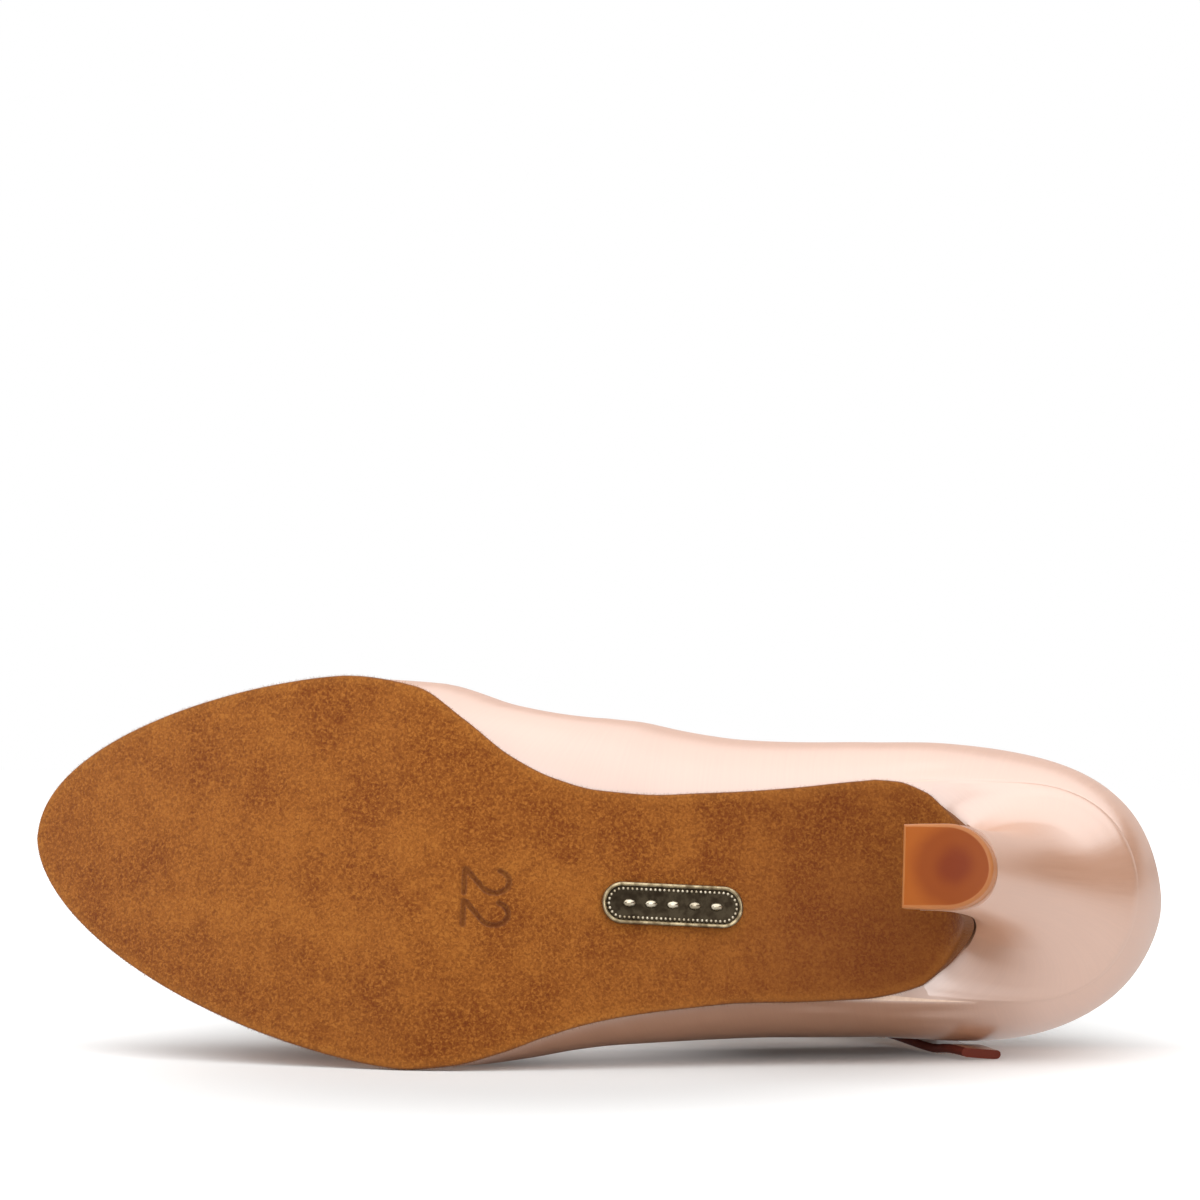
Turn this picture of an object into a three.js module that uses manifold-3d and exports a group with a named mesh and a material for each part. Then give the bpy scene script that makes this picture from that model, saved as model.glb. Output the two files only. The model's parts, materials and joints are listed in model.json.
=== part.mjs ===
// A woman's ballroom dance shoe for the right foot: a satin court upper on a covered flared heel, a suede
// outsole that runs down the heel breast, an instep strap with a small buckle and a metal badge at the waist.
// It is modelled standing, in millimetres: x from the heel to the toe, y to the inner side of the foot,
// z up from the ground. At the end the whole shoe is laid on its outer side, sole to the front.

import * as THREE from "three";
import { mergeVertices } from "three/addons/utils/BufferGeometryUtils.js";
import Module from "manifold-3d";

// Driving sizes
const LENGTH = 222.5; // back of the heel seat to the toe tip
const TOE_Y = 5.2; // the toe tip lies this far to the inner side
// Where the toe curve starts on each side, and its fullness.
const INNER_BALL = { x: 152, y: 37.9, along: 1.44, across: 2.15 };
const OUTER_BALL = { x: 137, y: 40.8, along: 1.4, across: 1.72 };
const SEAT = { back: 0.8, widest: 28, fullness: 2.6 }; // the heel end of the feather edge
const SOLE = 2.2; // suede outsole
const INSOLE = 2;
const WALL = 1.8; // satin, stiffener and lining together
const GAP = 0.3; // between neighbouring pieces
const WELT = 0.6; // the sole stands out beyond the upper by this
const TIP = 4; // heel tip height
const TRIM = { from: 68, to: 52, by: 0.8 }; // the sole's outer edge is trimmed back before the heel breast
const STRAP = { width: 9, thick: 1.8 };
const TAB = { width: 8, thick: 1, length: 13, eye: 1.2 };
const BUCKLE = { long: 10.5, wide: 12.4, bar: 1.3, tilt: 17 };
const BADGE = { x: 88.3, y: -6.2, long: 29, wide: 8.4, thick: 0.9, rim: 0.4 };
const LIE = { lean: 7.4, dip: 0.7 }; // the sole tips up by lean, the heel end up by dip, in degrees

// The feather edge seen from below, from the seat to the ball: half widths to the inner and the outer side.
const OUTLINE = [
  { x: 28, inner: 22.3, outer: 23.4 },
  { x: 42, inner: 22.2, outer: 23.8 },
  { x: 56, inner: 20.6, outer: 24.0 },
  { x: 66, inner: 18.9, outer: 24.5 },
  { x: 75, inner: 17.6, outer: 25.1 },
  { x: 84, inner: 16.6, outer: 26.5 },
  { x: 93, inner: 15.8, outer: 28.2 },
  { x: 102, inner: 16.2, outer: 30.5 },
  { x: 110, inner: 18.2, outer: 33.5 },
  { x: 118, inner: 22.2, outer: 37.0 },
  { x: 127, inner: 29.2, outer: 39.8 },
  { x: 137, inner: 35.7, outer: 40.8 },
  { x: 152, inner: 37.9, outer: 38.6 },
  { x: 160, inner: 37.9, outer: 37.0 },
];

// The underside of the sole in side view, from the seat over the arch and the flat tread to the toe spring.
const PROFILE = [
  { x: -4, z: 55.8 }, { x: 10, z: 53.9 }, { x: 20, z: 51.6 }, { x: 30, z: 48.9 }, { x: 41, z: 45.3 },
  { x: 56, z: 39.2 }, { x: 71, z: 31.1 }, { x: 86, z: 22.2 }, { x: 101, z: 13.6 }, { x: 116, z: 6.4 },
  { x: 127, z: 2.2 }, { x: 134, z: 0.6 }, { x: 140, z: 0 }, { x: 156, z: 0 }, { x: 170, z: 0.7 },
  { x: 185, z: 2.5 }, { x: 200, z: 5.2 }, { x: 212, z: 7.8 }, { x: 226, z: 11.1 },
];

// Down the heel, a row for each level: the sole's tongue (x, z of its outer face and its half widths), and
// the ring of the heel behind it (its back, and its widest half widths).
const BREAST = [
  { x: 48.0, z: 42.5, inner: 21.0, outer: 22.2, backX: 0.8, backZ: 57.3, wideIn: 22.1, wideOut: 23.2 },
  { x: 42.0, z: 44.6, inner: 18.8, outer: 20.0, backX: 1.3, backZ: 55.4, wideIn: 20.9, wideOut: 22.0 },
  { x: 38.2, z: 45.2, inner: 15.2, outer: 16.2, backX: 2.8, backZ: 52.6, wideIn: 18.5, wideOut: 19.5 },
  { x: 35.2, z: 43.8, inner: 12.0, outer: 12.0, backX: 5.1, backZ: 48.8, wideIn: 15.4, wideOut: 15.9 },
  { x: 33.2, z: 40.6, inner: 10.0, outer: 9.2, backX: 8.0, backZ: 44.0, wideIn: 12.7, wideOut: 12.6 },
  { x: 32.0, z: 35.5, inner: 8.8, outer: 7.6, backX: 11.0, backZ: 38.0, wideIn: 10.9, wideOut: 10.4 },
  { x: 31.4, z: 29.0, inner: 8.2, outer: 6.8, backX: 13.7, backZ: 30.4, wideIn: 9.8, wideOut: 9.0 },
  { x: 31.7, z: 20.5, inner: 8.1, outer: 6.6, backX: 15.8, backZ: 21.2, wideIn: 9.1, wideOut: 8.1 },
  { x: 33.3, z: 11.5, inner: 8.3, outer: 6.9, backX: 17.1, backZ: 12.0, wideIn: 8.8, wideOut: 7.6 },
  { x: 35.7, z: 4.3, inner: 8.7, outer: 7.5, backX: 17.8, backZ: 4.3, wideIn: 8.9, wideOut: 7.7 },
];

// The ribs of the upper, from the heel back round to the toe tip: each springs from the feather edge at x,
// swells outward and up, and ends at the topline (topX, topZ, and half widths topIn, topOut). swellIn,
// swellOut and rise set its start; reach (share of the way back to the feather), lean and drop set how it
// meets the topline.
const RIB_COLUMNS = [
  "x", "topX", "topIn", "topOut", "topZ", "swellIn", "swellOut", "rise", "reach", "lean", "drop",
];
const RIBS = [
  [0.8, 8, 0, 0, 109.5, 2.6, 2.6, 10, 0, 6.5, 17],
  [8, 14.1, 10.6, 11.5, 106.9, 8.2, 5.3, 11.1, 0, 7.4, 17.6],
  [28, 30, 20.5, 21.5, 100, 12.9, 9.5, 12, 0, 8.5, 18],
  [56, 58, 22.5, 23.5, 87.5, 17.3, 10, 9, 0, 7.5, 16],
  [80, 83, 23.5, 25.5, 73.5, 20.2, 9.5, 8, 0, 6.5, 14],
  [104, 107, 23.5, 25.5, 60, 26.5, 7.5, 8, 0.02, 8, 12],
  [118, 118, 22.3, 24.2, 54.8, 24, 4.2, 11, 0.15, 7.5, 9],
  [130, 126.5, 19.5, 21.5, 51, 13.5, 1, 15, 0.3, 6, 6],
  [152, 136.3, 12, 13.5, 46.2, 3.5, 1.2, 17, 0.42, 4, 4],
  [188, 141.2, 4.6, 5.6, 43.6, 2, 2.5, 14.5, 0.5, 1, 5.5],
  [LENGTH, 142, -0.5, 0.5, 43, 1.2, 1.2, 12, 0.5, 0, 7],
].map((row) => Object.fromEntries(RIB_COLUMNS.map((name, i) => [name, row[i]])));

const vec = (x, y, z) => new THREE.Vector3(x, y, z);
const mix = THREE.MathUtils.lerp;
const steps = (count) => Array.from({ length: count + 1 }, (_, i) => i / count);

// A smooth curve through [x, y] points in order of x. A level curve never swings past its points; a period
// closes the curve on itself.
function through(points, { level = false, period = 0 } = {}) {
  const n = points.length;
  const at = (i) => {
    if (!period) return points[Math.min(Math.max(i, 0), n - 1)];
    const [x, y] = points[((i % n) + n) % n];
    return [x + Math.floor(i / n) * period, y];
  };
  const grade = (i) => {
    const [p, q] = [at(i), at(i + 1)];
    return q[0] > p[0] ? (q[1] - p[1]) / (q[0] - p[0]) : 0;
  };
  const slope = (i) => {
    const open = !period;
    if (open && i === 0) return grade(0);
    if (open && i === n - 1) return grade(n - 2);
    const [a, b] = [grade(i - 1), grade(i)];
    const [l, r] = [at(i)[0] - at(i - 1)[0], at(i + 1)[0] - at(i)[0]];
    if (level) return a * b <= 0 ? 0 : (3 * (l + r)) / ((2 * r + l) / a + (r + 2 * l) / b);
    return (a * r + b * l) / (l + r);
  };
  return (x) => {
    const turn = period ? Math.floor((x - points[0][0]) / period) * period : 0;
    const place = x - turn;
    let i = 0;
    while (i < (period ? n - 1 : n - 2) && at(i + 1)[0] < place) i += 1;
    const [[x0, y0], [x1, y1]] = [at(i), at(i + 1)];
    const [h, t] = [x1 - x0, (place - x0) / (x1 - x0)];
    const [a, b] = [t * t * (3 - 2 * t), t * (1 - t)];
    return y0 + (y1 - y0) * a + h * (slope(i) * b * (1 - t) - slope(i + 1) * b * t);
  };
}
const column = (rows, key, name = "x") => rows.map((row) => [row[name], row[key]]);

// One closed solid through a run of rings, each a loop of the same number of points. Both ends are closed
// across, or the last ring joins the first.
function loft(rings, { joined = false } = {}) {
  const n = rings[0].length;
  const points = rings.flat();
  const faces = [];
  const last = joined ? rings.length : rings.length - 1;
  for (let i = 0; i < last; i += 1) {
    const [a, b] = [i * n, ((i + 1) % rings.length) * n];
    for (let j = 0; j < n; j += 1) {
      const k = (j + 1) % n;
      faces.push([a + j, a + k, b + k], [a + j, b + k, b + j]);
    }
  }
  const close = (base, flip) => {
    for (let i = 0; i < n - 1 - i; i += 1) {
      const tri = [[i, n - 2 - i, n - 1 - i]];
      if (i + 1 < n - 2 - i) tri.push([i, i + 1, n - 2 - i]);
      for (const face of tri) {
        const [p, q, r] = face.map((corner) => base + corner);
        faces.push(flip ? [p, r, q] : [p, q, r]);
      }
    }
  };
  if (!joined) {
    close(0, true);
    close((rings.length - 1) * n, false);
  }
  let volume = 0;
  for (const [p, q, r] of faces) volume += points[p].dot(points[q].clone().cross(points[r]));
  if (volume < 0) faces.forEach((f) => f.reverse());
  const geometry = new THREE.BufferGeometry();
  geometry.setAttribute("position", new THREE.Float32BufferAttribute(points.flatMap((p) => p.toArray()), 3));
  geometry.setIndex(faces.flat());
  return geometry;
}

// Half width of the feather edge on one side, as a distance from the line y = 0.
const tables = {
  inner: through(column(OUTLINE, "inner"), { level: true }),
  outer: through(column(OUTLINE, "outer"), { level: true }),
};
function edge(side, x) {
  const ball = side === "inner" ? INNER_BALL : OUTER_BALL;
  const tip = side === "inner" ? TOE_Y : -TOE_Y;
  if (x < SEAT.widest) {
    const share = Math.min((SEAT.widest - x) / (SEAT.widest - SEAT.back), 1);
    return tables[side](SEAT.widest) * Math.sqrt(Math.max(1 - share ** SEAT.fullness, 0));
  }
  if (x < ball.x) return tables[side](x);
  const share = Math.min((x - ball.x) / (LENGTH - ball.x), 1);
  return tip + (ball.y - tip) * Math.max(1 - share ** ball.along, 0) ** (1 / ball.across);
}
const sign = { inner: 1, outer: -1 };

// Height of the surface that lies a given distance above the sole's underside, measured square to it.
const underside = through(column(PROFILE, "z"), { level: true });
function above(lift) {
  const ends = [PROFILE[0].x, PROFILE[PROFILE.length - 1].x];
  const points = steps(240).map((s) => {
    const x = mix(ends[0], ends[1], s);
    const grade = (underside(x + 0.2) - underside(x - 0.2)) / 0.4;
    const size = Math.hypot(1, grade);
    return [x - (lift * grade) / size, underside(x) + lift / size];
  });
  return through(points);
}

// The outsole: sections across it from the toe to the waist, then down the breast to the heel tip.
const solePath = [];
const soleRow = (x) => ({
  x, z: underside(x), inner: edge("inner", x),
  outer: edge("outer", x) - TRIM.by * Math.max((TRIM.from - x) / (TRIM.from - TRIM.to), 0) ** 2,
});
for (const s of steps(16)) {
  solePath.push(soleRow(mix(INNER_BALL.x, LENGTH, Math.sin(((1 - s) * 86 * Math.PI) / 180))));
}
for (let x = 148; x > 51; x -= 4) {
  solePath.push(soleRow(x));
}
const tongue = new THREE.CatmullRomCurve3(
  [solePath[solePath.length - 1], ...BREAST].map((row) => vec(row.x, 0, row.z)), false, "centripetal");
const tongueRows = BREAST.length;
const downBreast = (key) => BREAST.map((row, i) => [i + 1, row[key]]);
const rowCurve = (key, first) => through([[0, first], ...downBreast(key)], { level: true });
const tongueIn = rowCurve("inner", solePath[solePath.length - 1].inner);
const tongueOut = rowCurve("outer", solePath[solePath.length - 1].outer);
const tongueStart = solePath.length;
for (let k = 0.5; k <= tongueRows; k += 0.5) {
  const p = tongue.getPoint(k / tongueRows);
  solePath.push({ x: p.x, z: p.z, inner: tongueIn(k), outer: tongueOut(k) });
}
const soleNormal = solePath.map((row, i) => {
  const [p, q] = [solePath[Math.max(i - 1, 0)], solePath[Math.min(i + 1, solePath.length - 1)]];
  return vec(q.z - p.z, 0, p.x - q.x).normalize(); // from the underside into the shoe
});
soleNormal[soleNormal.length - 1].set(-1, 0, 0); // the tongue ends flat on the heel tip
const soleRing = (row, normal) => {
  const lift = normal.clone().multiplyScalar(SOLE);
  const [a, b] = [vec(row.x, row.inner, row.z), vec(row.x, -row.outer, row.z)];
  return [a, b, b.clone().add(lift), a.clone().add(lift)];
};
const outsole = loft(solePath.map((row, i) => soleRing(row, soleNormal[i])));

// A D-shaped ring: round at the back, widest part of the way along, and square at the front.
function dRing({
  back, front, wideIn, wideOut, frontIn, frontOut, heightAt, widest = 0.57, fullness = SEAT.fullness,
}) {
  const half = (wide, corner, share) => (share < widest
    ? wide * Math.sqrt(Math.max(1 - (1 - share / widest) ** fullness, 0))
    : wide + (corner - wide) * ((share - widest) / (1 - widest)) ** 2);
  const shares = steps(11).map((s) => 1 - Math.cos((s * Math.PI) / 2));
  const side = (wide, corner, to) => shares.map((share) => {
    const x = mix(back, front, share);
    return vec(x, to * half(wide, corner, share), heightAt(x, share));
  });
  return [...side(wideOut, frontOut, -1).reverse(), ...side(wideIn, frontIn, 1).slice(1)];
}

// The heel: a ring behind each section of the tongue, the topmost one bent to the seat of the upper.
const seat = above(SOLE);
const heelRow = Object.fromEntries(["backX", "backZ", "wideIn", "wideOut"]
  .map((key) => [key, through(downBreast(key), { level: true })]));
const heelRings = [];
for (let k = 1; k <= tongueRows; k += 0.5) {
  const row = solePath[tongueStart + 2 * k - 1];
  const front = vec(row.x, 0, row.z).addScaledVector(soleNormal[tongueStart + 2 * k - 1], SOLE + GAP + 0.15);
  const [wideIn, wideOut] = [heelRow.wideIn(k), heelRow.wideOut(k)];
  const bend = Math.max(1 - (k - 1) / 3, 0);
  heelRings.push(dRing({
    back: heelRow.backX(k), front: front.x, wideIn, wideOut,
    frontIn: Math.min(row.inner + GAP, wideIn), frontOut: Math.min(row.outer + GAP, wideOut),
    heightAt: (x, share) => {
      const flat = mix(heelRow.backZ(k), front.z, share);
      return flat + (k === 1 ? seat(x) - flat : bend * 6 * share * (1 - share));
    },
  }));
}
const heel = loft(heelRings);

// The heel tip: a D-shaped block, flush with the heel and the end of the tongue.
const foot = BREAST[BREAST.length - 1];
const tipRing = (z) => dRing({
  back: foot.backX, front: foot.x + 0.1, wideIn: foot.wideIn, wideOut: foot.wideOut,
  frontIn: foot.inner, frontOut: foot.outer, widest: 0.52, fullness: 2, heightAt: () => z,
});
const heelTip = loft([tipRing(0), tipRing(TIP)]);

// The feather edge as a run from the heel back (0) round each side to the toe tip (1), by length.
const runs = Object.fromEntries(["inner", "outer"].map((side) => {
  const points = steps(400).map((s) => {
    const x = mix(SEAT.back, LENGTH, (1 - Math.cos(s * Math.PI)) / 2);
    return vec(x, sign[side] * edge(side, x), 0);
  });
  const lengths = [0];
  for (let i = 1; i < points.length; i += 1) {
    lengths.push(lengths[i - 1] + points[i].distanceTo(points[i - 1]));
  }
  const total = lengths[lengths.length - 1];
  return [side, {
    at: through(lengths.map((l, i) => [l / total, i])),
    station: through(points.map((p, i) => [p.x, lengths[i] / total])),
    points,
  }];
}));
const lapOf = (side, x) => (side === "outer" ? runs.outer.station(x) / 2 : 1 - runs.inner.station(x) / 2);
function featherPlan(lap) {
  const side = lap <= 0.5 ? "outer" : "inner";
  const run = runs[side];
  const place = Math.min(Math.max(run.at(lap <= 0.5 ? 2 * lap : 2 - 2 * lap), 0), 400);
  const i = Math.min(Math.floor(place), 399);
  return run.points[i].clone().lerp(run.points[i + 1], place - i);
}

// The outside of the upper: lap goes once round the feather edge from the heel back, up goes from the feather
// edge (0) to the topline (1) along a rib.
const ribs = [
  ...RIBS.slice(0, -1).map((row) => (
    { ...row, lap: lapOf("outer", row.x), topY: -row.topOut, swell: row.swellOut })),
  ...RIBS.slice(1).reverse().map((row) => (
    { ...row, lap: lapOf("inner", row.x), topY: row.topIn, swell: row.swellIn })),
];
const rib = Object.fromEntries(["topX", "topY", "topZ", "swell", "rise", "reach", "lean", "drop"]
  .map((key) => [key, through(column(ribs, key, "lap"), { period: 1 })]));
const rim = above(SOLE + GAP);
function wall(lap, up) {
  const turn = lap - Math.floor(lap);
  const [p, q] = [featherPlan((turn + 0.98) % 1), featherPlan((turn + 0.02) % 1)];
  const out = vec(q.y - p.y, p.x - q.x, 0).normalize();
  const foot0 = featherPlan(turn).addScaledVector(out, -WELT);
  foot0.z = rim(foot0.x);
  const top = vec(rib.topX(turn), rib.topY(turn), rib.topZ(turn));
  const start = foot0.clone().addScaledVector(out, rib.swell(turn)).add(vec(0, 0, rib.rise(turn)));
  const back = foot0.clone().sub(top).setZ(0).multiplyScalar(rib.reach(turn));
  const end = top.clone().add(back).addScaledVector(out, rib.lean(turn)).add(vec(0, 0, -rib.drop(turn)));
  return new THREE.CubicBezierCurve3(foot0, start, end, top).getPoint(up);
}
function wallNormal(lap, up) {
  const [low, high] = [Math.max(up - 0.01, 0), Math.min(up + 0.01, 1)];
  const rise = wall(lap, high).sub(wall(lap, low));
  const round = wall(lap + 0.002, up).sub(wall(lap - 0.002, up));
  return round.cross(rise).normalize();
}

// The upper: a hollow shell round the whole edge, open at the topline and underneath. The ribs crowd towards
// the heel back and the toe.
const RIB_COUNT = 88;
const LEVELS = 13;
const upper = loft(Array.from({ length: RIB_COUNT }, (_, i) => {
  const half = (2 * i) / RIB_COUNT;
  const part = half % 1;
  const lap = (Math.floor(half) + 0.55 * part + 0.45 * (0.5 - 0.5 * Math.cos(Math.PI * part))) / 2;
  const outside = steps(LEVELS).map((up) => wall(lap, up));
  const inside = steps(LEVELS).map((up, j) => outside[j].clone().addScaledVector(wallNormal(lap, up), -WALL));
  return [...outside, ...inside.reverse()];
}), { joined: true });

// The insole lies inside the upper on the sole and the heel seat.
const insoleInset = WALL + GAP + 0.3;
const [insoleLow, insoleHigh] = [above(SOLE + GAP + 0.1), above(SOLE + GAP + 0.1 + INSOLE)];
const insoleEnds = [SEAT.back + insoleInset + 0.8, LENGTH - insoleInset - 3.6];
const insole = loft(steps(44).map((s) => {
  const x = mix(...insoleEnds, (1 - Math.cos(mix(0.05, 0.97, s) * Math.PI)) / 2);
  const [p, q] = [edge("inner", x), edge("outer", x)].map((y, i) => {
    const side = i ? "outer" : "inner";
    const grade = (edge(side, x + 0.3) - edge(side, x - 0.3)) / 0.6;
    return y - WELT - insoleInset * Math.min(Math.hypot(1, grade), 4);
  });
  const [low, high] = [insoleLow(x), insoleHigh(x)];
  return [vec(x, p, low), vec(x, -q, low), vec(x, -q, high), vec(x, p, high)];
}));

// A flat band along a path: rows of a point on its inner face and the direction it faces.
function band(rows, width, thick, count) {
  const path = new THREE.CatmullRomCurve3(rows.map((row) => row.at), false, "centripetal");
  const facing = ["x", "y", "z"].map((axis) => through(rows.map((row, i) => [i, row.out[axis]])));
  return steps(count).map((s) => {
    const p = path.getPoint(s);
    const along = path.getTangent(s);
    const out = vec(...facing.map((f) => f(s * (rows.length - 1))));
    out.addScaledVector(along, -out.dot(along)).normalize();
    const across = along.clone().cross(out).multiplyScalar(width / 2);
    const lift = out.multiplyScalar(thick);
    const [a, b] = [p.clone().add(across), p.clone().sub(across)];
    return [a, b, b.clone().add(lift), a.clone().add(lift)];
  });
}

// The buckle stands on the outer topline. Its own frame: along runs down the strap's tail, out faces away.
const buckleLap = lapOf("outer", 55);
const seatPoint = wall(buckleLap, 1);
const out = wallNormal(buckleLap, 0.97);
const tailLap = lapOf("outer", 34);
const tailEnd = wall(tailLap, 0.36);
const along = tailEnd.clone().sub(seatPoint);
along.addScaledVector(out, -along.dot(out)).normalize();
const across = out.clone().cross(along);
const eyeRadius = TAB.eye + TAB.thick;
const bar = seatPoint.clone().addScaledVector(along, -5).addScaledVector(out, eyeRadius + GAP + 0.05);
const atBuckle = (down, high, wide = 0) => bar.clone().addScaledVector(along, down).addScaledVector(out, high)
  .addScaledVector(across, wide);
const buckleFrame = new THREE.Matrix4().makeBasis(along, across, out).setPosition(bar);

// The strap: sewn inside the inner quarter, over the instep, under the buckle's front bar, over the tab and
// down to a free tail on the outer quarter.
function onWall(lap, up, lift) {
  const facing = wallNormal(lap, up);
  return { at: wall(lap, up).addScaledVector(facing, lift), out: facing };
}
const inside = -WALL - GAP - 0.1 - STRAP.thick;
const strapRows = [
  onWall(lapOf("inner", 62), 0.66, inside),
  onWall(lapOf("inner", 66), 0.82, inside),
  onWall(lapOf("inner", 71), 1, inside),
  { at: vec(83, 14.5, 89.5), out: vec(0.4, 0.7, 0.6) },
  { at: vec(89.5, 2, 96.5), out: vec(0.55, 0.05, 0.83) },
  { at: vec(83.5, -12.5, 97.8), out: vec(0.42, -0.6, 0.68) },
  { at: atBuckle(-11.5, -1.1), out: out.clone() },
  { at: atBuckle(-6, 0.3), out: out.clone() },
  { at: atBuckle(0, eyeRadius + GAP + 0.1), out: out.clone() },
  { at: atBuckle(5, 0.9), out: out.clone() },
  onWall(mix(buckleLap, tailLap, 0.58), 0.64, 1.1),
  onWall(mix(buckleLap, tailLap, 0.8), 0.46, 0.8),
  onWall(tailLap, 0.32, 2.9),
];
const strapRings = band(strapRows, STRAP.width, STRAP.thick, 72);

// A round bar along a path.
function rod(points, radius, sides = 8) {
  const path = new THREE.CatmullRomCurve3(points, false, "centripetal");
  return loft(steps(14).map((s) => {
    const [p, t] = [path.getPoint(s), path.getTangent(s)];
    const u = across.clone().addScaledVector(t, -across.dot(t)).normalize();
    const v = t.clone().cross(u);
    return steps(sides).slice(1).map((turn) => {
      const [a, b] = [Math.cos(turn * 2 * Math.PI), Math.sin(turn * 2 * Math.PI)];
      return p.clone().addScaledVector(u, radius * a).addScaledVector(v, radius * b);
    });
  }));
}
const frontBar = BUCKLE.long * Math.sin((BUCKLE.tilt * Math.PI) / 180);
const prongPath = [
  atBuckle(-eyeRadius - 1, 0.3), atBuckle(-4.6, 2.2), atBuckle(-7, frontBar + BUCKLE.bar / 2 + 0.6),
  atBuckle(-BUCKLE.long - 0.9, frontBar + BUCKLE.bar / 2 + 0.85),
];
const prong = rod(prongPath, 0.55);
const prongHole = rod([atBuckle(-2.2, -3), ...prongPath.slice(0, 3), atBuckle(-8, 5)], 0.95);

const wasm = await Module();
wasm.setup();
function asSolid(geometry) {
  const bare = geometry.clone();
  ["normal", "uv"].forEach((name) => bare.deleteAttribute(name));
  const merged = mergeVertices(bare, 1e-4);
  return new wasm.Manifold(new wasm.Mesh({
    numProp: 3,
    vertProperties: merged.attributes.position.array,
    triVerts: Uint32Array.from(merged.index.array),
  }));
}
const extrude = (shape, depth, curveSegments) => (
  new THREE.ExtrudeGeometry(shape, { depth, bevelEnabled: false, curveSegments }));
function asGeometry(body) {
  const mesh = body.getMesh();
  const geometry = new THREE.BufferGeometry();
  geometry.setAttribute("position", new THREE.BufferAttribute(mesh.vertProperties.slice(), 3));
  geometry.setIndex([...mesh.triVerts]);
  return geometry;
}
const strap = asGeometry(asSolid(loft(strapRings)).subtract(asSolid(prongHole)));

// The tab: sewn to the outer quarter under the strap's tail, with a rolled eye round the buckle's rear bar.
const tabShape = new THREE.Shape();
tabShape.moveTo(TAB.length, -eyeRadius);
tabShape.lineTo(TAB.length, -TAB.eye);
tabShape.lineTo(Math.sqrt(eyeRadius ** 2 - TAB.eye ** 2), -TAB.eye);
tabShape.absarc(0, 0, eyeRadius, -Math.asin(TAB.eye / eyeRadius), (3 * Math.PI) / 2, false);
tabShape.lineTo(TAB.length, -eyeRadius);
tabShape.holes.push(new THREE.Path().absarc(0, 0, TAB.eye, 0, 2 * Math.PI, true));
const buckleTab = extrude(tabShape, TAB.width, 9).rotateX(Math.PI / 2).translate(0, TAB.width / 2, 0);

// The buckle: a flat stamped frame, tilted so that the strap passes under its front bar.
const outlineOf = (shape, long, wide, corner) => {
  const [l, w] = [long / 2 - corner, wide / 2 - corner];
  shape.absarc(l, -w, corner, -Math.PI / 2, 0, false);
  shape.absarc(l, w, corner, 0, Math.PI / 2, false);
  shape.absarc(-l, w, corner, Math.PI / 2, Math.PI, false);
  shape.absarc(-l, -w, corner, Math.PI, 1.5 * Math.PI, false);
  return shape;
};
const frameShape = outlineOf(new THREE.Shape(), BUCKLE.long + BUCKLE.bar, BUCKLE.wide + BUCKLE.bar, 2);
frameShape.holes.push(outlineOf(new THREE.Path(), BUCKLE.long - BUCKLE.bar, BUCKLE.wide - BUCKLE.bar, 1));
const buckle = extrude(frameShape, BUCKLE.bar, 4)
  .translate(-BUCKLE.long / 2, 0, -BUCKLE.bar / 2).rotateY((BUCKLE.tilt * Math.PI) / 180);

// The badge: a plain plate with a raised rim, set along the slope of the waist.
const BADGE_LIP = 0.8; // width of the raised rim
const stadium = (inset) => outlineOf(
  new THREE.Shape(), BADGE.long - 2 * inset, BADGE.wide - 2 * inset, BADGE.wide / 2 - inset - 0.01);
const plate = asSolid(extrude(stadium(0), BADGE.thick + BADGE.rim, 8));
const sunk = extrude(stadium(BADGE_LIP), 2 * BADGE.rim, 8);
const badge = asGeometry(plate.subtract(asSolid(sunk.translate(0, 0, BADGE.thick))));
const badgeGrade = (underside(BADGE.x + 12) - underside(BADGE.x - 12)) / 24;
const badgeRun = vec(1, 0, badgeGrade).normalize();
const badgeDown = vec(badgeGrade, 0, -1).normalize();
const badgeFrame = new THREE.Matrix4().makeBasis(badgeRun, badgeDown.clone().cross(badgeRun), badgeDown)
  .setPosition(vec(BADGE.x, BADGE.y, underside(BADGE.x)).addScaledVector(badgeDown, GAP + 0.05));

// The whole shoe, standing, then laid on its outer side.
const satin = () => new THREE.MeshStandardMaterial({ color: 0xe8c6b0, roughness: 0.42 });
const metal = () => new THREE.MeshStandardMaterial({ color: 0xb9aa92, roughness: 0.3, metalness: 1 });
const standing = new THREE.Group();
function add(name, geometry, material, matrix) {
  const mesh = new THREE.Mesh(geometry, material);
  mesh.name = name;
  if (matrix) {
    mesh.applyMatrix4(matrix);
  }
  standing.add(mesh);
}
add("outsole", outsole, new THREE.MeshStandardMaterial({ color: 0x9c5f2c, roughness: 0.95 }));
add("upper", upper, satin());
add("insole", insole, new THREE.MeshStandardMaterial({ color: 0xd9b79c, roughness: 0.7 }));
add("heel", heel, satin());
add("heel_tip", heelTip, new THREE.MeshStandardMaterial({ color: 0xa3582a, roughness: 0.35 }));
add("strap", strap, satin());
add("buckle_tab", buckleTab, satin(), buckleFrame);
add("buckle_frame", buckle, metal(), buckleFrame);
add("buckle_prong", prong, metal());
add("badge", badge, metal(), badgeFrame);

const [lean, dip] = [LIE.lean, LIE.dip].map(THREE.MathUtils.degToRad);
const up = vec(-Math.sin(dip), 1, -Math.tan(lean)).normalize();
const left = vec(-1, 0, 0).addScaledVector(up, up.x).normalize();
const pose = new THREE.Matrix4().makeBasis(left, up.clone().cross(left), up).transpose();
standing.applyMatrix4(pose);
const shoe = new THREE.Group();
shoe.add(standing);
shoe.updateMatrixWorld(true);
const box = new THREE.Box3().setFromObject(shoe, true);
const centre = box.getCenter(vec(0, 0, 0));
standing.position.sub(vec(centre.x, centre.y, box.min.z));
shoe.updateMatrixWorld(true);

export default shoe;
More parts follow.
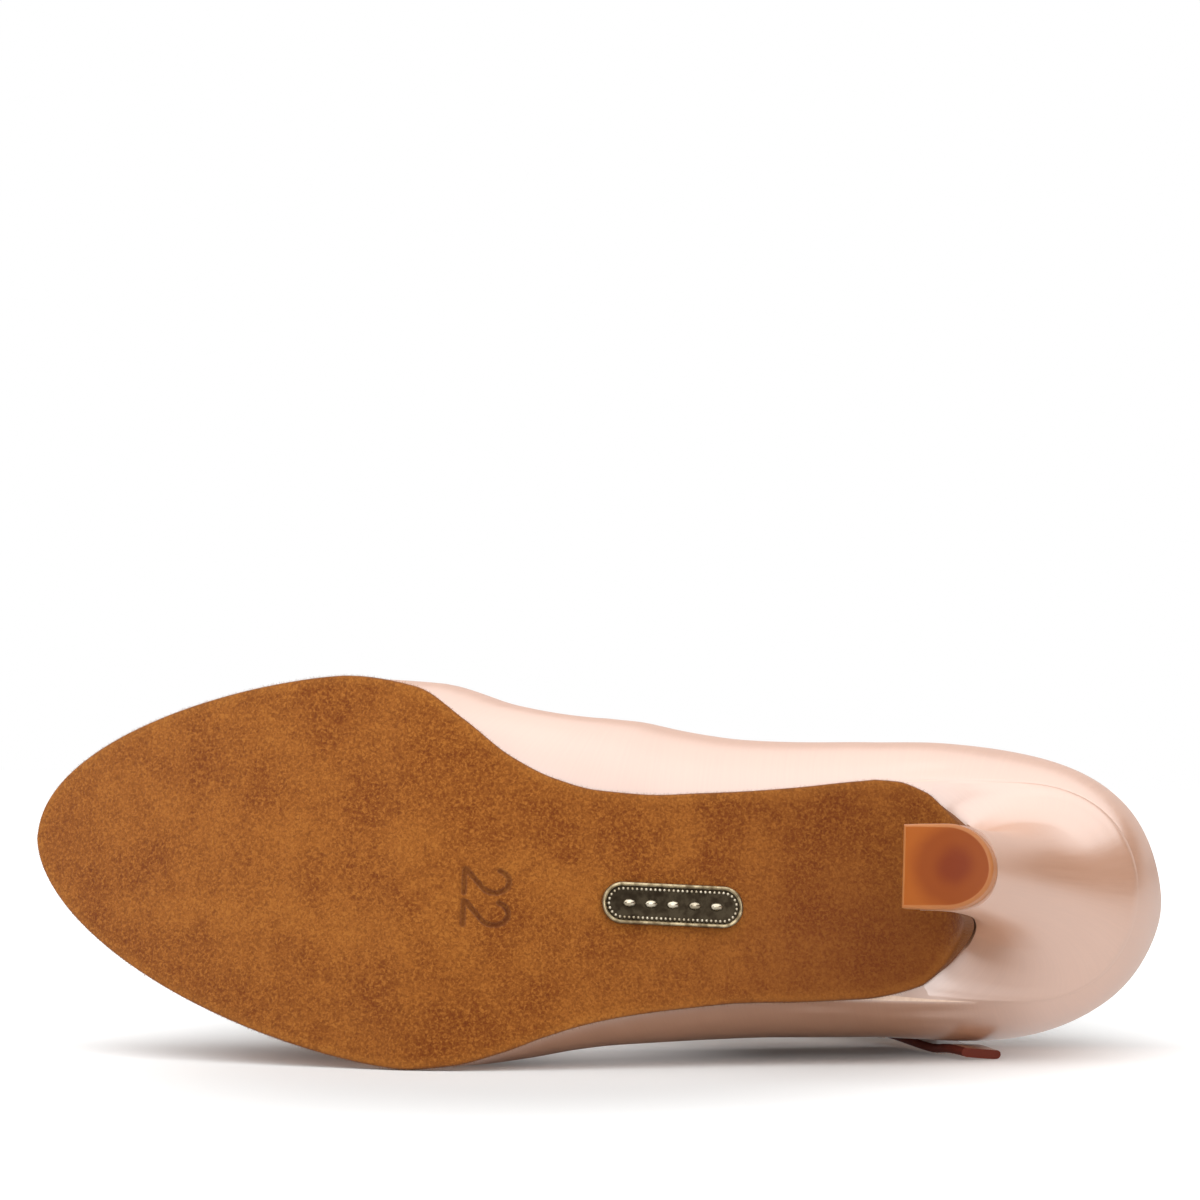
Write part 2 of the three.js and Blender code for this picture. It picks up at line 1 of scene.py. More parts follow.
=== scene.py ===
import json
import math

import bpy
import numpy as np
from mathutils import Matrix, Vector

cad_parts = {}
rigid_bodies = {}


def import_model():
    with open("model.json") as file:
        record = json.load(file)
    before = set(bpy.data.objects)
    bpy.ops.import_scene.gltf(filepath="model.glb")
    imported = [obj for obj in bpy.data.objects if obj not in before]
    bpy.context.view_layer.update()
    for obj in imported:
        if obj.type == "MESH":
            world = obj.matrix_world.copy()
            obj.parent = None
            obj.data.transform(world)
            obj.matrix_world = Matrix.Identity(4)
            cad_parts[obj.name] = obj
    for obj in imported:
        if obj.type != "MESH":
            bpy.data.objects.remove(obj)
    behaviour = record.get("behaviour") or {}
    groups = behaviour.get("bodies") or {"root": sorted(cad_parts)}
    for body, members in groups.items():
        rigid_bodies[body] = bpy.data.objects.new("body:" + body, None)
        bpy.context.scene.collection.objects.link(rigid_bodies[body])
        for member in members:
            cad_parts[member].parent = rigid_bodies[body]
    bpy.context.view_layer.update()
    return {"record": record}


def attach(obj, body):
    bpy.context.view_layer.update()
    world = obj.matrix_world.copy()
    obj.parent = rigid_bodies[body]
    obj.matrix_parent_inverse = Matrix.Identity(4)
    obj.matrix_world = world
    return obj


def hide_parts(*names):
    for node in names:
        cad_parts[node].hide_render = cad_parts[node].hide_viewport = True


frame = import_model()

# The insole
# A board of lining leather cut to the feather edge of the last, laid on the sole and the heel seat. All else
# grows out from its edge, so the last's outline, bottom curve and pose stand here, in millimetres with the
# shoe standing: x from the heel to the toe, y to the inner side of the foot, z up from the ground.
LENGTH = 222.5  # back of the heel seat to the toe tip
TOE_Y = 5.2  # the toe tip lies this far to the inner side
BALL = {  # where the toe curve starts on each side, and how full it is
    1: {"x": 152, "y": 37.9, "along": 1.44, "across": 2.15},
    -1: {"x": 137, "y": 40.8, "along": 1.4, "across": 1.72},
}
INNER, OUTER = 1, -1
SEAT_BACK, SEAT_WIDEST, SEAT_FULLNESS = 0.8, 28, 2.6
SOLE, INSOLE, WALL, GAP, WELT = 2.2, 2, 1.8, 0.3, 0.6
OUTLINE = [  # x, then the half width to the inner and to the outer side
    (28, 22.3, 23.4), (42, 22.2, 23.8), (56, 20.6, 24.0), (66, 18.9, 24.5), (75, 17.6, 25.1),
    (84, 16.6, 26.5), (93, 15.8, 28.2), (102, 16.2, 30.5), (110, 18.2, 33.5), (118, 22.2, 37.0),
    (127, 29.2, 39.8), (137, 35.7, 40.8), (152, 37.9, 38.6), (160, 37.9, 37.0),
]
PROFILE = [  # x, then the height of the sole's underside
    (-4, 55.8), (10, 53.9), (20, 51.6), (30, 48.9), (41, 45.3), (56, 39.2), (71, 31.1), (86, 22.2),
    (101, 13.6), (116, 6.4), (127, 2.2), (134, 0.6), (140, 0), (156, 0), (170, 0.7), (185, 2.5),
    (200, 5.2), (212, 7.8), (226, 11.1),
]
LEAN, DIP = math.radians(7.4), math.radians(0.7)  # on its outer side the sole tips up, and the heel end too
HEEL_TREAD = np.array([26.5, 0, 0])  # the point of the standing shoe that the heel mount names


def through(points, level=False, period=0):
    """A smooth curve through (x, y) points in order of x. A level one never swings past its points."""
    x, y = np.array(points, float).T
    if period:
        x, y = np.concatenate([x - period, x, x + period]), np.tile(y, 3)
    step = np.diff(x)
    grade = np.diff(y) / step
    left, right, before, after = step[:-1], step[1:], grade[:-1], grade[1:]
    if level:
        both = np.where(before * after > 0, before * after, 1)
        mixed = (2 * right + left) * after + (right + 2 * left) * before + 1e-12
        inside = np.where(before * after > 0, 3 * (left + right) * both / mixed, 0)
    else:
        inside = (before * right + after * left) / (left + right)
    slope = np.concatenate([grade[:1], inside, grade[-1:]])

    def curve(at):
        at = np.asarray(at, float)
        i = np.clip(np.searchsorted(x, at) - 1, 0, len(x) - 2)
        t = (at - x[i]) / step[i]
        blend, swing = t * t * (3 - 2 * t), t * (1 - t)
        return y[i] + (y[i + 1] - y[i]) * blend + step[i] * swing * (slope[i] * (1 - t) - slope[i + 1] * t)

    return curve


half_width = {
    INNER: through([(x, inner) for x, inner, _ in OUTLINE], level=True),
    OUTER: through([(x, outer) for x, _, outer in OUTLINE], level=True),
}


def edge(side, x):
    """Half width of the feather edge on one side: a round seat, the table, then the toe curve."""
    x = np.asarray(x, float)
    ball, tip = BALL[side], side * TOE_Y
    seat = np.clip((SEAT_WIDEST - x) / (SEAT_WIDEST - SEAT_BACK), 0, 1)
    toe = np.clip((x - ball["x"]) / (LENGTH - ball["x"]), 0, 1)
    rear = half_width[side](SEAT_WIDEST) * np.sqrt(1 - seat ** SEAT_FULLNESS)
    front = tip + (ball["y"] - tip) * (1 - toe ** ball["along"]) ** (1 / ball["across"])
    return np.where(x < SEAT_WIDEST, rear, np.where(x < ball["x"], half_width[side](x), front))


underside = through(PROFILE, level=True)


def above(lift):
    """Height of the surface that lies a given distance above the sole's underside, square to it."""
    x = np.linspace(PROFILE[0][0], PROFILE[-1][0], 241)
    grade = (underside(x + 0.2) - underside(x - 0.2)) / 0.4
    size = np.hypot(1, grade)
    return through(np.stack([x - lift * grade / size, underside(x) + lift / size], 1))


def unit(vectors):
    return vectors / np.linalg.norm(vectors, axis=-1, keepdims=True)


up_axis = unit(np.array([-math.sin(DIP), 1, -math.tan(LEAN)]))
left_axis = unit(np.array([-1.0, 0, 0]) + up_axis * up_axis[0])
pose = np.stack([left_axis, np.cross(up_axis, left_axis), up_axis])
heel_mount = next(m for m in frame["record"]["mounts"] if m["name"] == "heel_tread")


def place(points):
    """Points of the standing shoe in millimetres, as the shoe lies on its side, in metres."""
    return (np.asarray(points, float) - HEEL_TREAD) @ pose.T / 1000 + np.array(heel_mount["pos_m"])


def lofted(name, rings, joined=False, uv=None, turned=False, sharp=40):
    """A closed mesh object through rings of points, closed across its ends or joined from last to first.

    uv, where given, holds the way along of each ring and the way across of each point of a ring, in mm.
    A turned one has the cloth lying the other way.
    """
    rows, columns = rings.shape[:2]
    count = rows if joined else rows - 1
    i, j = np.meshgrid(np.arange(count), np.arange(columns), indexing="ij")
    nxt, beside = (i + 1) % rows, (j + 1) % columns
    quads = np.stack([i * columns + j, i * columns + beside, nxt * columns + beside, nxt * columns + j], -1)
    faces = quads.reshape(-1, 4).tolist()
    if not joined:
        faces.append(list(range(columns))[::-1])
        faces.append(list(range((rows - 1) * columns, rows * columns)))
    mesh = bpy.data.meshes.new(name)
    mesh.from_pydata(place(rings.reshape(-1, 3)).tolist(), [], faces)
    if uv is not None:
        along, across = uv
        corners = np.zeros((len(mesh.loops), 2), np.float32)
        spread = np.stack([along[i], along[i + 1], across[j], across[j + 1]], -1).reshape(-1, 4)
        picks = [(0, 2), (0, 3), (1, 3), (1, 2)]
        corners[: 4 * len(spread)] = np.stack([spread[:, p] for p in picks], 1).reshape(-1, 2)
        corners = corners[:, ::-1] if turned else corners
        mesh.uv_layers.new(name="cloth").data.foreach_set("uv", corners.ravel())
    mesh.validate()
    part = bpy.data.objects.new(name, mesh)
    bpy.context.scene.collection.objects.link(part)
    shade(part, sharp)
    return part


def shade(part, sharp=40):
    """Smooth faces that point outwards, with sharp edges past an angle."""
    mesh = part.data
    points = np.zeros(len(mesh.vertices) * 3)
    mesh.vertices.foreach_get("co", points)
    points = points.reshape(-1, 3) - points.reshape(-1, 3).mean(0)
    mesh.calc_loop_triangles()
    corners = np.zeros(len(mesh.loop_triangles) * 3, int)
    mesh.loop_triangles.foreach_get("vertices", corners)
    a, b, c = points[corners.reshape(-1, 3)].transpose(1, 0, 2)
    if np.einsum("ij,ij->", a, np.cross(b, c)) < 0:
        mesh.flip_normals()
    mesh.shade_smooth()
    mesh.set_sharp_from_angle(angle=math.radians(sharp))


LAID = SOLE + GAP + 0.1  # height of the insole's underside above the sole's
insole_inset = WALL + GAP + 0.3
insole_low, insole_high = above(LAID), above(LAID + INSOLE)
insole_back, insole_front = SEAT_BACK + insole_inset + 0.8, LENGTH - insole_inset - 3.6
ease = (1 - np.cos(np.linspace(0.05, 0.97, 200) * math.pi)) / 2
insole_x = insole_back + ease * (insole_front - insole_back)
insole_sides = []
for side in (INNER, OUTER):
    grade = (edge(side, insole_x + 0.3) - edge(side, insole_x - 0.3)) / 0.6
    insole_sides.append(edge(side, insole_x) - WELT - insole_inset * np.minimum(np.hypot(1, grade), 4))
insole_rings = []
ROUNDING = [(-1.2, 0.5), (-1.05, 0.15), (-0.7, 0)]  # the pared top edge: how far in, and how far down
for x, inner, outer in zip(insole_x, *insole_sides):
    top = [(inner - inset, insole_high(x) - drop) for inset, drop in ROUNDING]
    middle = [(y, insole_high(x)) for y in np.linspace(inner - 0.4, 0.4 - outer, 24)]
    far = [(inset - outer, insole_high(x) - drop) for inset, drop in ROUNDING[::-1]]
    ring = [(inner, insole_low(x)), *top, *middle, *far, (-outer, insole_low(x))]
    insole_rings.append([(x, y, z) for y, z in ring])
insole = lofted("insole_board", np.array(insole_rings))


class Socket:
    """A socket of a node tree. Arithmetic on it adds Math nodes, and node() adds any other node."""

    def __init__(self, tree, socket=None):
        self.tree, self.socket = tree, socket

    def node(self, kind, settings, sockets, output=0):
        family = "" if kind.startswith(("Geometry", "Function", "NodeGroup")) else "ShaderNode"
        made = self.tree.nodes.new(family + kind)
        for key, value in settings.items():
            setattr(made, key, value)
        for key, value in sockets.items():
            if isinstance(value, Socket):
                self.tree.links.new(value.socket, made.inputs[key])
            else:
                made.inputs[key].default_value = value
        return Socket(self.tree, made.outputs[output] if len(made.outputs) else None)

    def math(self, operation, first, second):
        return self.node("Math", {"operation": operation}, {0: first, 1: second})

    def __add__(self, other):
        return self.math("ADD", self, other)

    __radd__ = __add__

    def __sub__(self, other):
        return self.math("SUBTRACT", self, other)

    def __rsub__(self, other):
        return self.math("SUBTRACT", other, self)

    def __mul__(self, other):
        return self.math("MULTIPLY", self, other)

    __rmul__ = __mul__

    def span(self, low, high, start=0, end=1):
        """This value's place between low and high, eased, as a number from start to end."""
        return self.node("MapRange", {"interpolation_type": "SMOOTHSTEP"},
                         {"Value": self, "From Min": low, "From Max": high, "To Min": start, "To Max": end})

    def blend(self, first, second):
        """A colour between two, by this value."""
        return self.node("Mix", {"data_type": "RGBA"}, {0: self, 6: first, 7: second}, output=2)

    def noise(self, size, detail=2):
        """Soft noise with features of about size millimetres."""
        where = self.node("TexCoord", {}, {}, output=3)
        return self.node("TexNoise", {}, {"Vector": where, "Scale": 1000 / size, "Detail": detail})

    def attribute(self, name):
        return self.node("Attribute", {"attribute_name": name}, {}, output=2)

    def bump(self, height, depth, strength=1):
        """A surface normal from a height of 0 to 1 that stands for depth millimetres."""
        return self.node("Bump", {}, {"Height": height, "Distance": depth / 1000, "Strength": strength})


def material(name):
    """A new material and the start of its node tree."""
    made = bpy.data.materials.new(name)
    made.use_nodes = True
    made.node_tree.nodes.clear()
    return made, Socket(made.node_tree)


def surface(start, **sockets):
    """Ends a material in one Principled shader. A socket's underscores stand for spaces."""
    plain = {key.replace("_", " "): value for key, value in sockets.items()}
    start.node("OutputMaterial", {}, {"Surface": start.node("BsdfPrincipled", {}, plain)})


def srgb(red, green, blue):
    """A colour given as it looks on a screen, from 0 to 255, as the shader's own numbers."""
    tones = [c / 255 for c in (red, green, blue)]
    return (*[t / 12.92 if t < 0.04045 else ((t + 0.055) / 1.055) ** 2.4 for t in tones], 1)


lining_leather, start = material("lining_leather")
pores = start.noise(0.9, 4)
patches = start.noise(26, 3)
tone = patches.span(0.3, 0.7).blend(srgb(226, 196, 172), srgb(236, 210, 190))
surface(start, Base_Color=pores.span(0.35, 0.7, 0, 0.3).blend(tone, srgb(206, 172, 146)),
        Roughness=pores.span(0.2, 0.8, 0.55, 0.72), Normal=start.bump(pores, 0.05, 0.4))
insole.data.materials.append(lining_leather)
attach(insole, "root")
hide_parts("insole")

# The upper
# Satin bonded to a leather lining, pulled over the last and under its edge, with a folded topline. Each rib
# springs from the feather edge, swells outward and up, and ends at the topline.
RIBS = [  # x, topX, topIn, topOut, topZ, swellIn, swellOut, rise, reach, lean, drop
    (0.8, 8, 0, 0, 109.5, 2.6, 2.6, 10, 0, 6.5, 17),
    (8, 14.1, 10.6, 11.5, 106.9, 8.2, 5.3, 11.1, 0, 7.4, 17.6),
    (28, 30, 20.5, 21.5, 100, 12.9, 9.5, 12, 0, 8.5, 18),
    (56, 58, 22.5, 23.5, 87.5, 17.3, 10, 9, 0, 7.5, 16),
    (80, 83, 23.5, 25.5, 73.5, 20.2, 9.5, 8, 0, 6.5, 14),
    (104, 107, 23.5, 25.5, 60, 26.5, 7.5, 8, 0.02, 8, 12),
    (118, 118, 22.3, 24.2, 54.8, 24, 4.2, 11, 0.15, 7.5, 9),
    (130, 126.5, 19.5, 21.5, 51, 13.5, 1, 15, 0.3, 6, 6),
    (152, 136.3, 12, 13.5, 46.2, 3.5, 1.2, 17, 0.42, 4, 4),
    (188, 141.2, 4.6, 5.6, 43.6, 2, 2.5, 14.5, 0.5, 1, 5.5),
    (LENGTH, 142, -0.5, 0.5, 43, 1.2, 1.2, 12, 0.5, 0, 7),
]
runs = {}
for side in (INNER, OUTER):
    x = SEAT_BACK + (LENGTH - SEAT_BACK) * (1 - np.cos(np.linspace(0, math.pi, 1201))) / 2
    y = side * edge(side, x)
    length = np.concatenate([[0], np.cumsum(np.hypot(np.diff(x), np.diff(y)))])
    runs[side] = {"x": x, "y": y, "share": length / length[-1], "length": length[-1]}


def lap_of(side, x):
    """Place round the feather edge: 0 at the heel back, along the outer side to 0.5 at the toe, back to 1."""
    share = np.interp(x, runs[side]["x"], runs[side]["share"]) / 2
    return share if side == OUTER else 1 - share


def feather(lap):
    """The feather edge in plan."""
    share = np.where(lap <= 0.5, 2 * lap, 2 - 2 * lap)
    outer, inner = [np.stack([np.interp(share, run["share"], run[k]) for k in "xy"], -1)
                    for run in (runs[OUTER], runs[INNER])]
    return np.where((lap <= 0.5)[..., None], outer, inner)


def rib_curve(outer, inner):
    rows = [(lap_of(OUTER, row[0]), outer(row)) for row in RIBS[:-1]]
    rows += [(lap_of(INNER, row[0]), inner(row)) for row in RIBS[:0:-1]]
    return through(rows, period=1)


rib = {"topY": rib_curve(lambda r: -r[3], lambda r: r[2]), "swell": rib_curve(lambda r: r[6], lambda r: r[5])}
for key, place_in_row in {"topX": 1, "topZ": 4, "rise": 7, "reach": 8, "lean": 9, "drop": 10}.items():
    rib[key] = rib_curve(lambda r, p=place_in_row: r[p], lambda r, p=place_in_row: r[p])
rim = above(SOLE + GAP)


def outward(lap):
    """The way out of the shoe in plan, square to the feather edge."""
    step = feather((lap + 0.02) % 1) - feather((lap + 0.98) % 1)
    return unit(np.stack([step[..., 1], -step[..., 0], 0 * lap], -1))


def under(lap, inset):
    """Points at the foot of the upper, that far in from the feather edge."""
    plan = feather(lap) - inset * outward(lap)[..., :2]
    return np.concatenate([plan, rim(plan[..., 0])[..., None]], -1)


def wall(lap, up):
    """Points on the outside of the upper, from the feather edge (up 0) to the topline (up 1)."""
    lap, up = np.broadcast_arrays(np.asarray(lap, float) % 1, np.asarray(up, float))
    out, foot = outward(lap), under(lap, WELT)
    top = np.stack([rib[key](lap) for key in ("topX", "topY", "topZ")], -1)
    raised = np.array([0, 0, 1.0])
    begin = foot + out * rib["swell"](lap)[..., None] + raised * rib["rise"](lap)[..., None]
    back = (foot - top) * [1, 1, 0] * rib["reach"](lap)[..., None]
    end = top + back + out * rib["lean"](lap)[..., None] - raised * rib["drop"](lap)[..., None]
    u = up[..., None]
    return foot * (1 - u) ** 3 + 3 * begin * u * (1 - u) ** 2 + 3 * end * u * u * (1 - u) + top * u ** 3


def wall_normal(lap, up):
    up = np.asarray(up, float)
    rise = wall(lap, np.minimum(up + 0.01, 1)) - wall(lap, np.maximum(up - 0.01, 0))
    return unit(np.cross(wall(lap + 0.002, up) - wall(lap - 0.002, up), rise))


RIB_COUNT = 360
MARGIN, MARGIN_THICK = 5, 0.2  # the edge that is turned in under the insole
GROOVE_DOWN, GROOVE_WIDE, GROOVE_DEEP = 2.1, 0.45, 0.16  # the stitch line below the topline
DRAWS = [  # soft creases where the satin was pulled over the last; lengths, widths and depths in mm
    {"lap": lap_of(OUTER, 40), "up": 0.07, "long": 16, "slant": 0.1, "wide": 1.6, "deep": 0.35},
    {"lap": lap_of(OUTER, 62), "up": 0.05, "long": 12, "slant": -0.1, "wide": 1.4, "deep": 0.25},
    {"lap": lap_of(INNER, 44), "up": 0.06, "long": 13, "slant": 0.12, "wide": 1.5, "deep": 0.25},
    {"lap": lap_of(INNER, 98), "up": 0.62, "long": 18, "slant": 0.7, "wide": 3.5, "deep": 0.3},
    {"lap": lap_of(OUTER, 112), "up": 0.66, "long": 16, "slant": -0.8, "wide": 3.2, "deep": 0.3},
    {"lap": lap_of(OUTER, 18), "up": 0.55, "long": 14, "slant": 0.9, "wide": 3.5, "deep": 0.2},
]
half_lap = np.linspace(0, 1, RIB_COUNT // 2, endpoint=False)
crowded = (0.55 * half_lap + 0.45 * (0.5 - 0.5 * np.cos(math.pi * half_lap))) / 2
laps = np.concatenate([crowded, 0.5 + crowded])[:, None]
ups = np.concatenate([np.linspace(0, 0.93, 46), 1 - 0.07 * (1 - np.linspace(0, 1, 16)[1:]) ** 1.5])[None, :]
outside = wall(laps, ups)
normal = wall_normal(laps, ups)
to_top = np.linalg.norm(outside - outside[:, -1:], axis=-1)
around = sum(run["length"] for run in runs.values())
height = np.linalg.norm(np.diff(outside, axis=1), axis=-1).sum(1).mean()
thick = WALL / 2 * np.ones_like(to_top)
fold = to_top < WALL / 2
thick[fold] = np.sqrt(np.maximum((WALL / 2) ** 2 - (WALL / 2 - to_top[fold]) ** 2, 0.0004))
relief = -GROOVE_DEEP * np.exp(-((to_top - GROOVE_DOWN) / GROOVE_WIDE) ** 2)
for draw in DRAWS:
    along = (laps - draw["lap"]) * around
    down = (ups - draw["up"]) * height
    lengthwise = along * math.cos(draw["slant"]) + down * math.sin(draw["slant"])
    sideways = down * math.cos(draw["slant"]) - along * math.sin(draw["slant"])
    taper = np.exp(-(2 * lengthwise / draw["long"]) ** 2)
    trough = np.exp(-(sideways / draw["wide"]) ** 2)
    ridge = np.exp(-((sideways - 1.7 * draw["wide"]) / draw["wide"]) ** 2)
    relief += draw["deep"] * taper * (0.6 * ridge - trough)
middle = outside - normal * WALL / 2
satin_side = middle + normal * (thick + np.minimum(relief, 0.25))[..., None]
lining_side = middle - normal * thick[..., None]
margin = under(laps, WELT + MARGIN)
upper_rings = np.concatenate([satin_side, lining_side[:, ::-1], margin + [0, 0, MARGIN_THICK], margin], 1)
lap_mm = np.append(laps[:, 0], 1) * around
girth = np.concatenate([[0], np.cumsum(np.linalg.norm(np.diff(upper_rings, axis=1), axis=-1).mean(0)), [200]])
upper = lofted("satin_upper", upper_rings, joined=True, uv=(lap_mm, girth), sharp=50)
lining_from = len(ups[0]) + 2
columns = np.arange(len(upper.data.polygons)) % upper_rings.shape[1]
upper.data.polygons.foreach_set("material_index", (columns >= lining_from).astype(np.int32))

# Satin: long silk floats run up the shoe, so the gloss is drawn out across them and varies in fine streaks.
satin, start = material("satin")
weave = start.node("UVMap", {"uv_map": "cloth"}, {})
drawn_out = start.node("VectorMath", {"operation": "MULTIPLY"}, {0: weave, 1: (2.2, 0.06, 1)})
streaks = start.node("TexNoise", {}, {"Vector": drawn_out, "Scale": 1.0, "Detail": 3})
close_set = start.node("VectorMath", {"operation": "MULTIPLY"}, {0: weave, 1: (4.5, 0.5, 1)})
threads = start.node("TexNoise", {}, {"Vector": close_set, "Scale": 1.0})
clouds = start.noise(30, 2)
tone = streaks.span(0.3, 0.7).blend(srgb(178, 126, 95), srgb(184, 133, 102))
tone = clouds.span(0.25, 0.75, 0, 0.35).blend(tone, srgb(188, 138, 108))
surface(start, Base_Color=tone,
        Roughness=streaks.span(0.25, 0.75, 0.31, 0.39), IOR=2.25, Specular_IOR_Level=1.0,
        Normal=start.bump(threads * 0.6 + streaks * 0.4, 0.03, 0.6))
upper.data.materials.append(satin)
upper.data.materials.append(lining_leather)
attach(upper, "root")
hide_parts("upper")


def growth(name, **inputs):
    """A geometry node tree that grows something along a path: the tree, a start for its nodes, its inputs."""
    tree = bpy.data.node_groups.new(name, "GeometryNodeTree")
    for label, kind in {"Path": "Geometry", **inputs}.items():
        tree.interface.new_socket(label, in_out="INPUT", socket_type="NodeSocket" + kind)
    tree.interface.new_socket("Grown", in_out="OUTPUT", socket_type="NodeSocketGeometry")
    given = tree.nodes.new("NodeGroupInput").outputs
    return tree, Socket(tree), {socket.name: Socket(tree, socket) for socket in given}


def grown(name, tree, points, outward, closed, **inputs):
    """What a node tree grows along a path of standing points, as a plain mesh object."""
    mesh = bpy.data.meshes.new(name)
    last = len(points) if closed else len(points) - 1
    mesh.from_pydata(place(points).tolist(), [(i, (i + 1) % len(points)) for i in range(last)], [])
    held = mesh.attributes.new("outward", "FLOAT_VECTOR", "POINT")
    held.data.foreach_set("vector", (np.asarray(outward) @ pose.T).astype(np.float32).ravel())
    path = bpy.data.objects.new(name + "_path", mesh)
    bpy.context.scene.collection.objects.link(path)
    modifier = path.modifiers.new("grow", "NODES")
    modifier.node_group = tree
    for socket in tree.interface.items_tree:
        if socket.in_out == "INPUT" and socket.name in inputs:
            modifier[socket.identifier] = inputs[socket.name]
    seen = path.evaluated_get(bpy.context.evaluated_depsgraph_get())
    result = bpy.data.objects.new(name, bpy.data.meshes.new_from_object(seen))
    bpy.context.scene.collection.objects.link(result)
    bpy.data.objects.remove(path)
    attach(result, "root")
    return result


# Topline stitching: one row of fine thread round the collar, a little below the fold. Each stitch is a short
# rounded thread that lies along the row and faces outward.
sewing_thread, start = material("sewing_thread")
twist = start.noise(0.25, 1)
surface(start, Base_Color=twist.span(0.3, 0.7).blend(srgb(214, 172, 150), srgb(238, 206, 188)), Roughness=0.5,
        Sheen_Weight=0.2, Normal=start.bump(twist, 0.03, 0.5))
stitch_rows, start, given = growth("stitch_row", Pitch="Float", Length="Float", Radius="Float",
                                   Thread="Material")
curve = start.node("GeometryNodeMeshToCurve", {}, {"Mesh": given["Path"]})
spots = start.node("GeometryNodeResampleCurve", {"mode": "LENGTH"},
                   {"Curve": curve, "Length": given["Pitch"]})
tangent = start.node("GeometryNodeInputTangent", {}, {})
lying = start.node("FunctionNodeAlignRotationToVector", {"axis": "X"}, {"Vector": tangent})
facing = start.node("GeometryNodeInputNamedAttribute", {"data_type": "FLOAT_VECTOR"}, {"Name": "outward"})
turn = start.node("FunctionNodeAlignRotationToVector", {"axis": "Z", "pivot_axis": "X"},
                  {"Rotation": lying, "Vector": facing})
size = start.node("CombineXYZ", {}, {"X": given["Length"], "Y": given["Radius"], "Z": given["Radius"]})
thread = start.node("GeometryNodeMeshUVSphere", {}, {"Segments": 8, "Rings": 6, "Radius": 1.0})
row = start.node("GeometryNodeInstanceOnPoints", {},
                 {"Points": spots, "Instance": thread, "Rotation": turn, "Scale": size})
row = start.node("GeometryNodeRealizeInstances", {}, {"Geometry": row})
row = start.node("GeometryNodeSetShadeSmooth", {}, {"Geometry": row})
row = start.node("GeometryNodeSetMaterial", {}, {"Geometry": row, "Material": given["Thread"]})
start.node("NodeGroupOutput", {}, {"Grown": row})
row_laps = np.linspace(0, 1, 500, endpoint=False)
row_ups = 1 - GROOVE_DOWN / np.linalg.norm(wall(row_laps, 0.96) - wall(row_laps, 1), axis=-1) * 0.04
row_out = wall_normal(row_laps, row_ups)
row_path = wall(row_laps, row_ups) - 0.1 * row_out  # sunk a little into the cloth
topline_stitches = grown("topline_stitches", stitch_rows, row_path, row_out, True,
                         Pitch=0.0021, Length=0.0008, Radius=0.00022, Thread=sewing_thread)

# The outsole
# Brown suede, nap outward, cemented under the upper. Its rear narrows and runs down the breast of the heel to
# the tip. The underside carries a pressed number.
BREAST = [  # down the heel: x, z and half widths of the tongue, then back, height and widths of the heel ring
    (48.0, 42.5, 21.0, 22.2, 0.8, 57.3, 22.1, 23.2),
    (42.0, 44.6, 18.8, 20.0, 1.3, 55.4, 20.9, 22.0),
    (38.2, 45.2, 15.2, 16.2, 2.8, 52.6, 18.5, 19.5),
    (35.2, 43.8, 12.0, 12.0, 5.1, 48.8, 15.4, 15.9),
    (33.2, 40.6, 10.0, 9.2, 8.0, 44.0, 12.7, 12.6),
    (32.0, 35.5, 8.8, 7.6, 11.0, 38.0, 10.9, 10.4),
    (31.4, 29.0, 8.2, 6.8, 13.7, 30.4, 9.8, 9.0),
    (31.7, 20.5, 8.1, 6.6, 15.8, 21.2, 9.1, 8.1),
    (33.3, 11.5, 8.3, 6.9, 17.1, 12.0, 8.8, 7.6),
    (35.7, 4.3, 8.7, 7.5, 17.8, 4.3, 8.9, 7.7),
]
TONGUE_FROM = 52  # x where the sole leaves the waist for the breast
TRIM, TRIM_FROM = 0.8, 68  # before that its outer edge is trimmed back a little
DIGITS, DIGITS_AT = 2, (121.8, -6.2)  # the pressed number 22
DIGIT_HIGH, DIGIT_WIDE, DIGIT_PITCH = 8.4, 4.8, 6.4
STROKE_WIDE, STROKE_DEEP = 0.9, 0.45
EDGE_ROUND = 0.6


def spline(points):
    """A smooth path through points, by row number; knots are spaced by the root of each step."""
    points = np.asarray(points, float)
    knots = np.concatenate([[0], np.cumsum(np.sqrt(np.linalg.norm(np.diff(points, axis=0), axis=1)))])
    axes = [through(np.stack([knots, points[:, k]], 1)) for k in range(points.shape[1])]
    return lambda row: np.stack([axis(np.interp(row, np.arange(len(knots)), knots)) for axis in axes], -1)


def breast_curve(column, first=None):
    rows = [(i + 1, row[column]) for i, row in enumerate(BREAST)]
    return through(([(0, first)] if first is not None else []) + rows, level=True)


def sole_edge(side, x):
    """Half width of the sole: the feather edge, trimmed on the outer side towards the heel breast."""
    trimmed = np.clip((TRIM_FROM - np.asarray(x, float)) / (TRIM_FROM - TONGUE_FROM), 0, None) ** 2
    return edge(side, x) - (TRIM * trimmed if side == OUTER else 0)


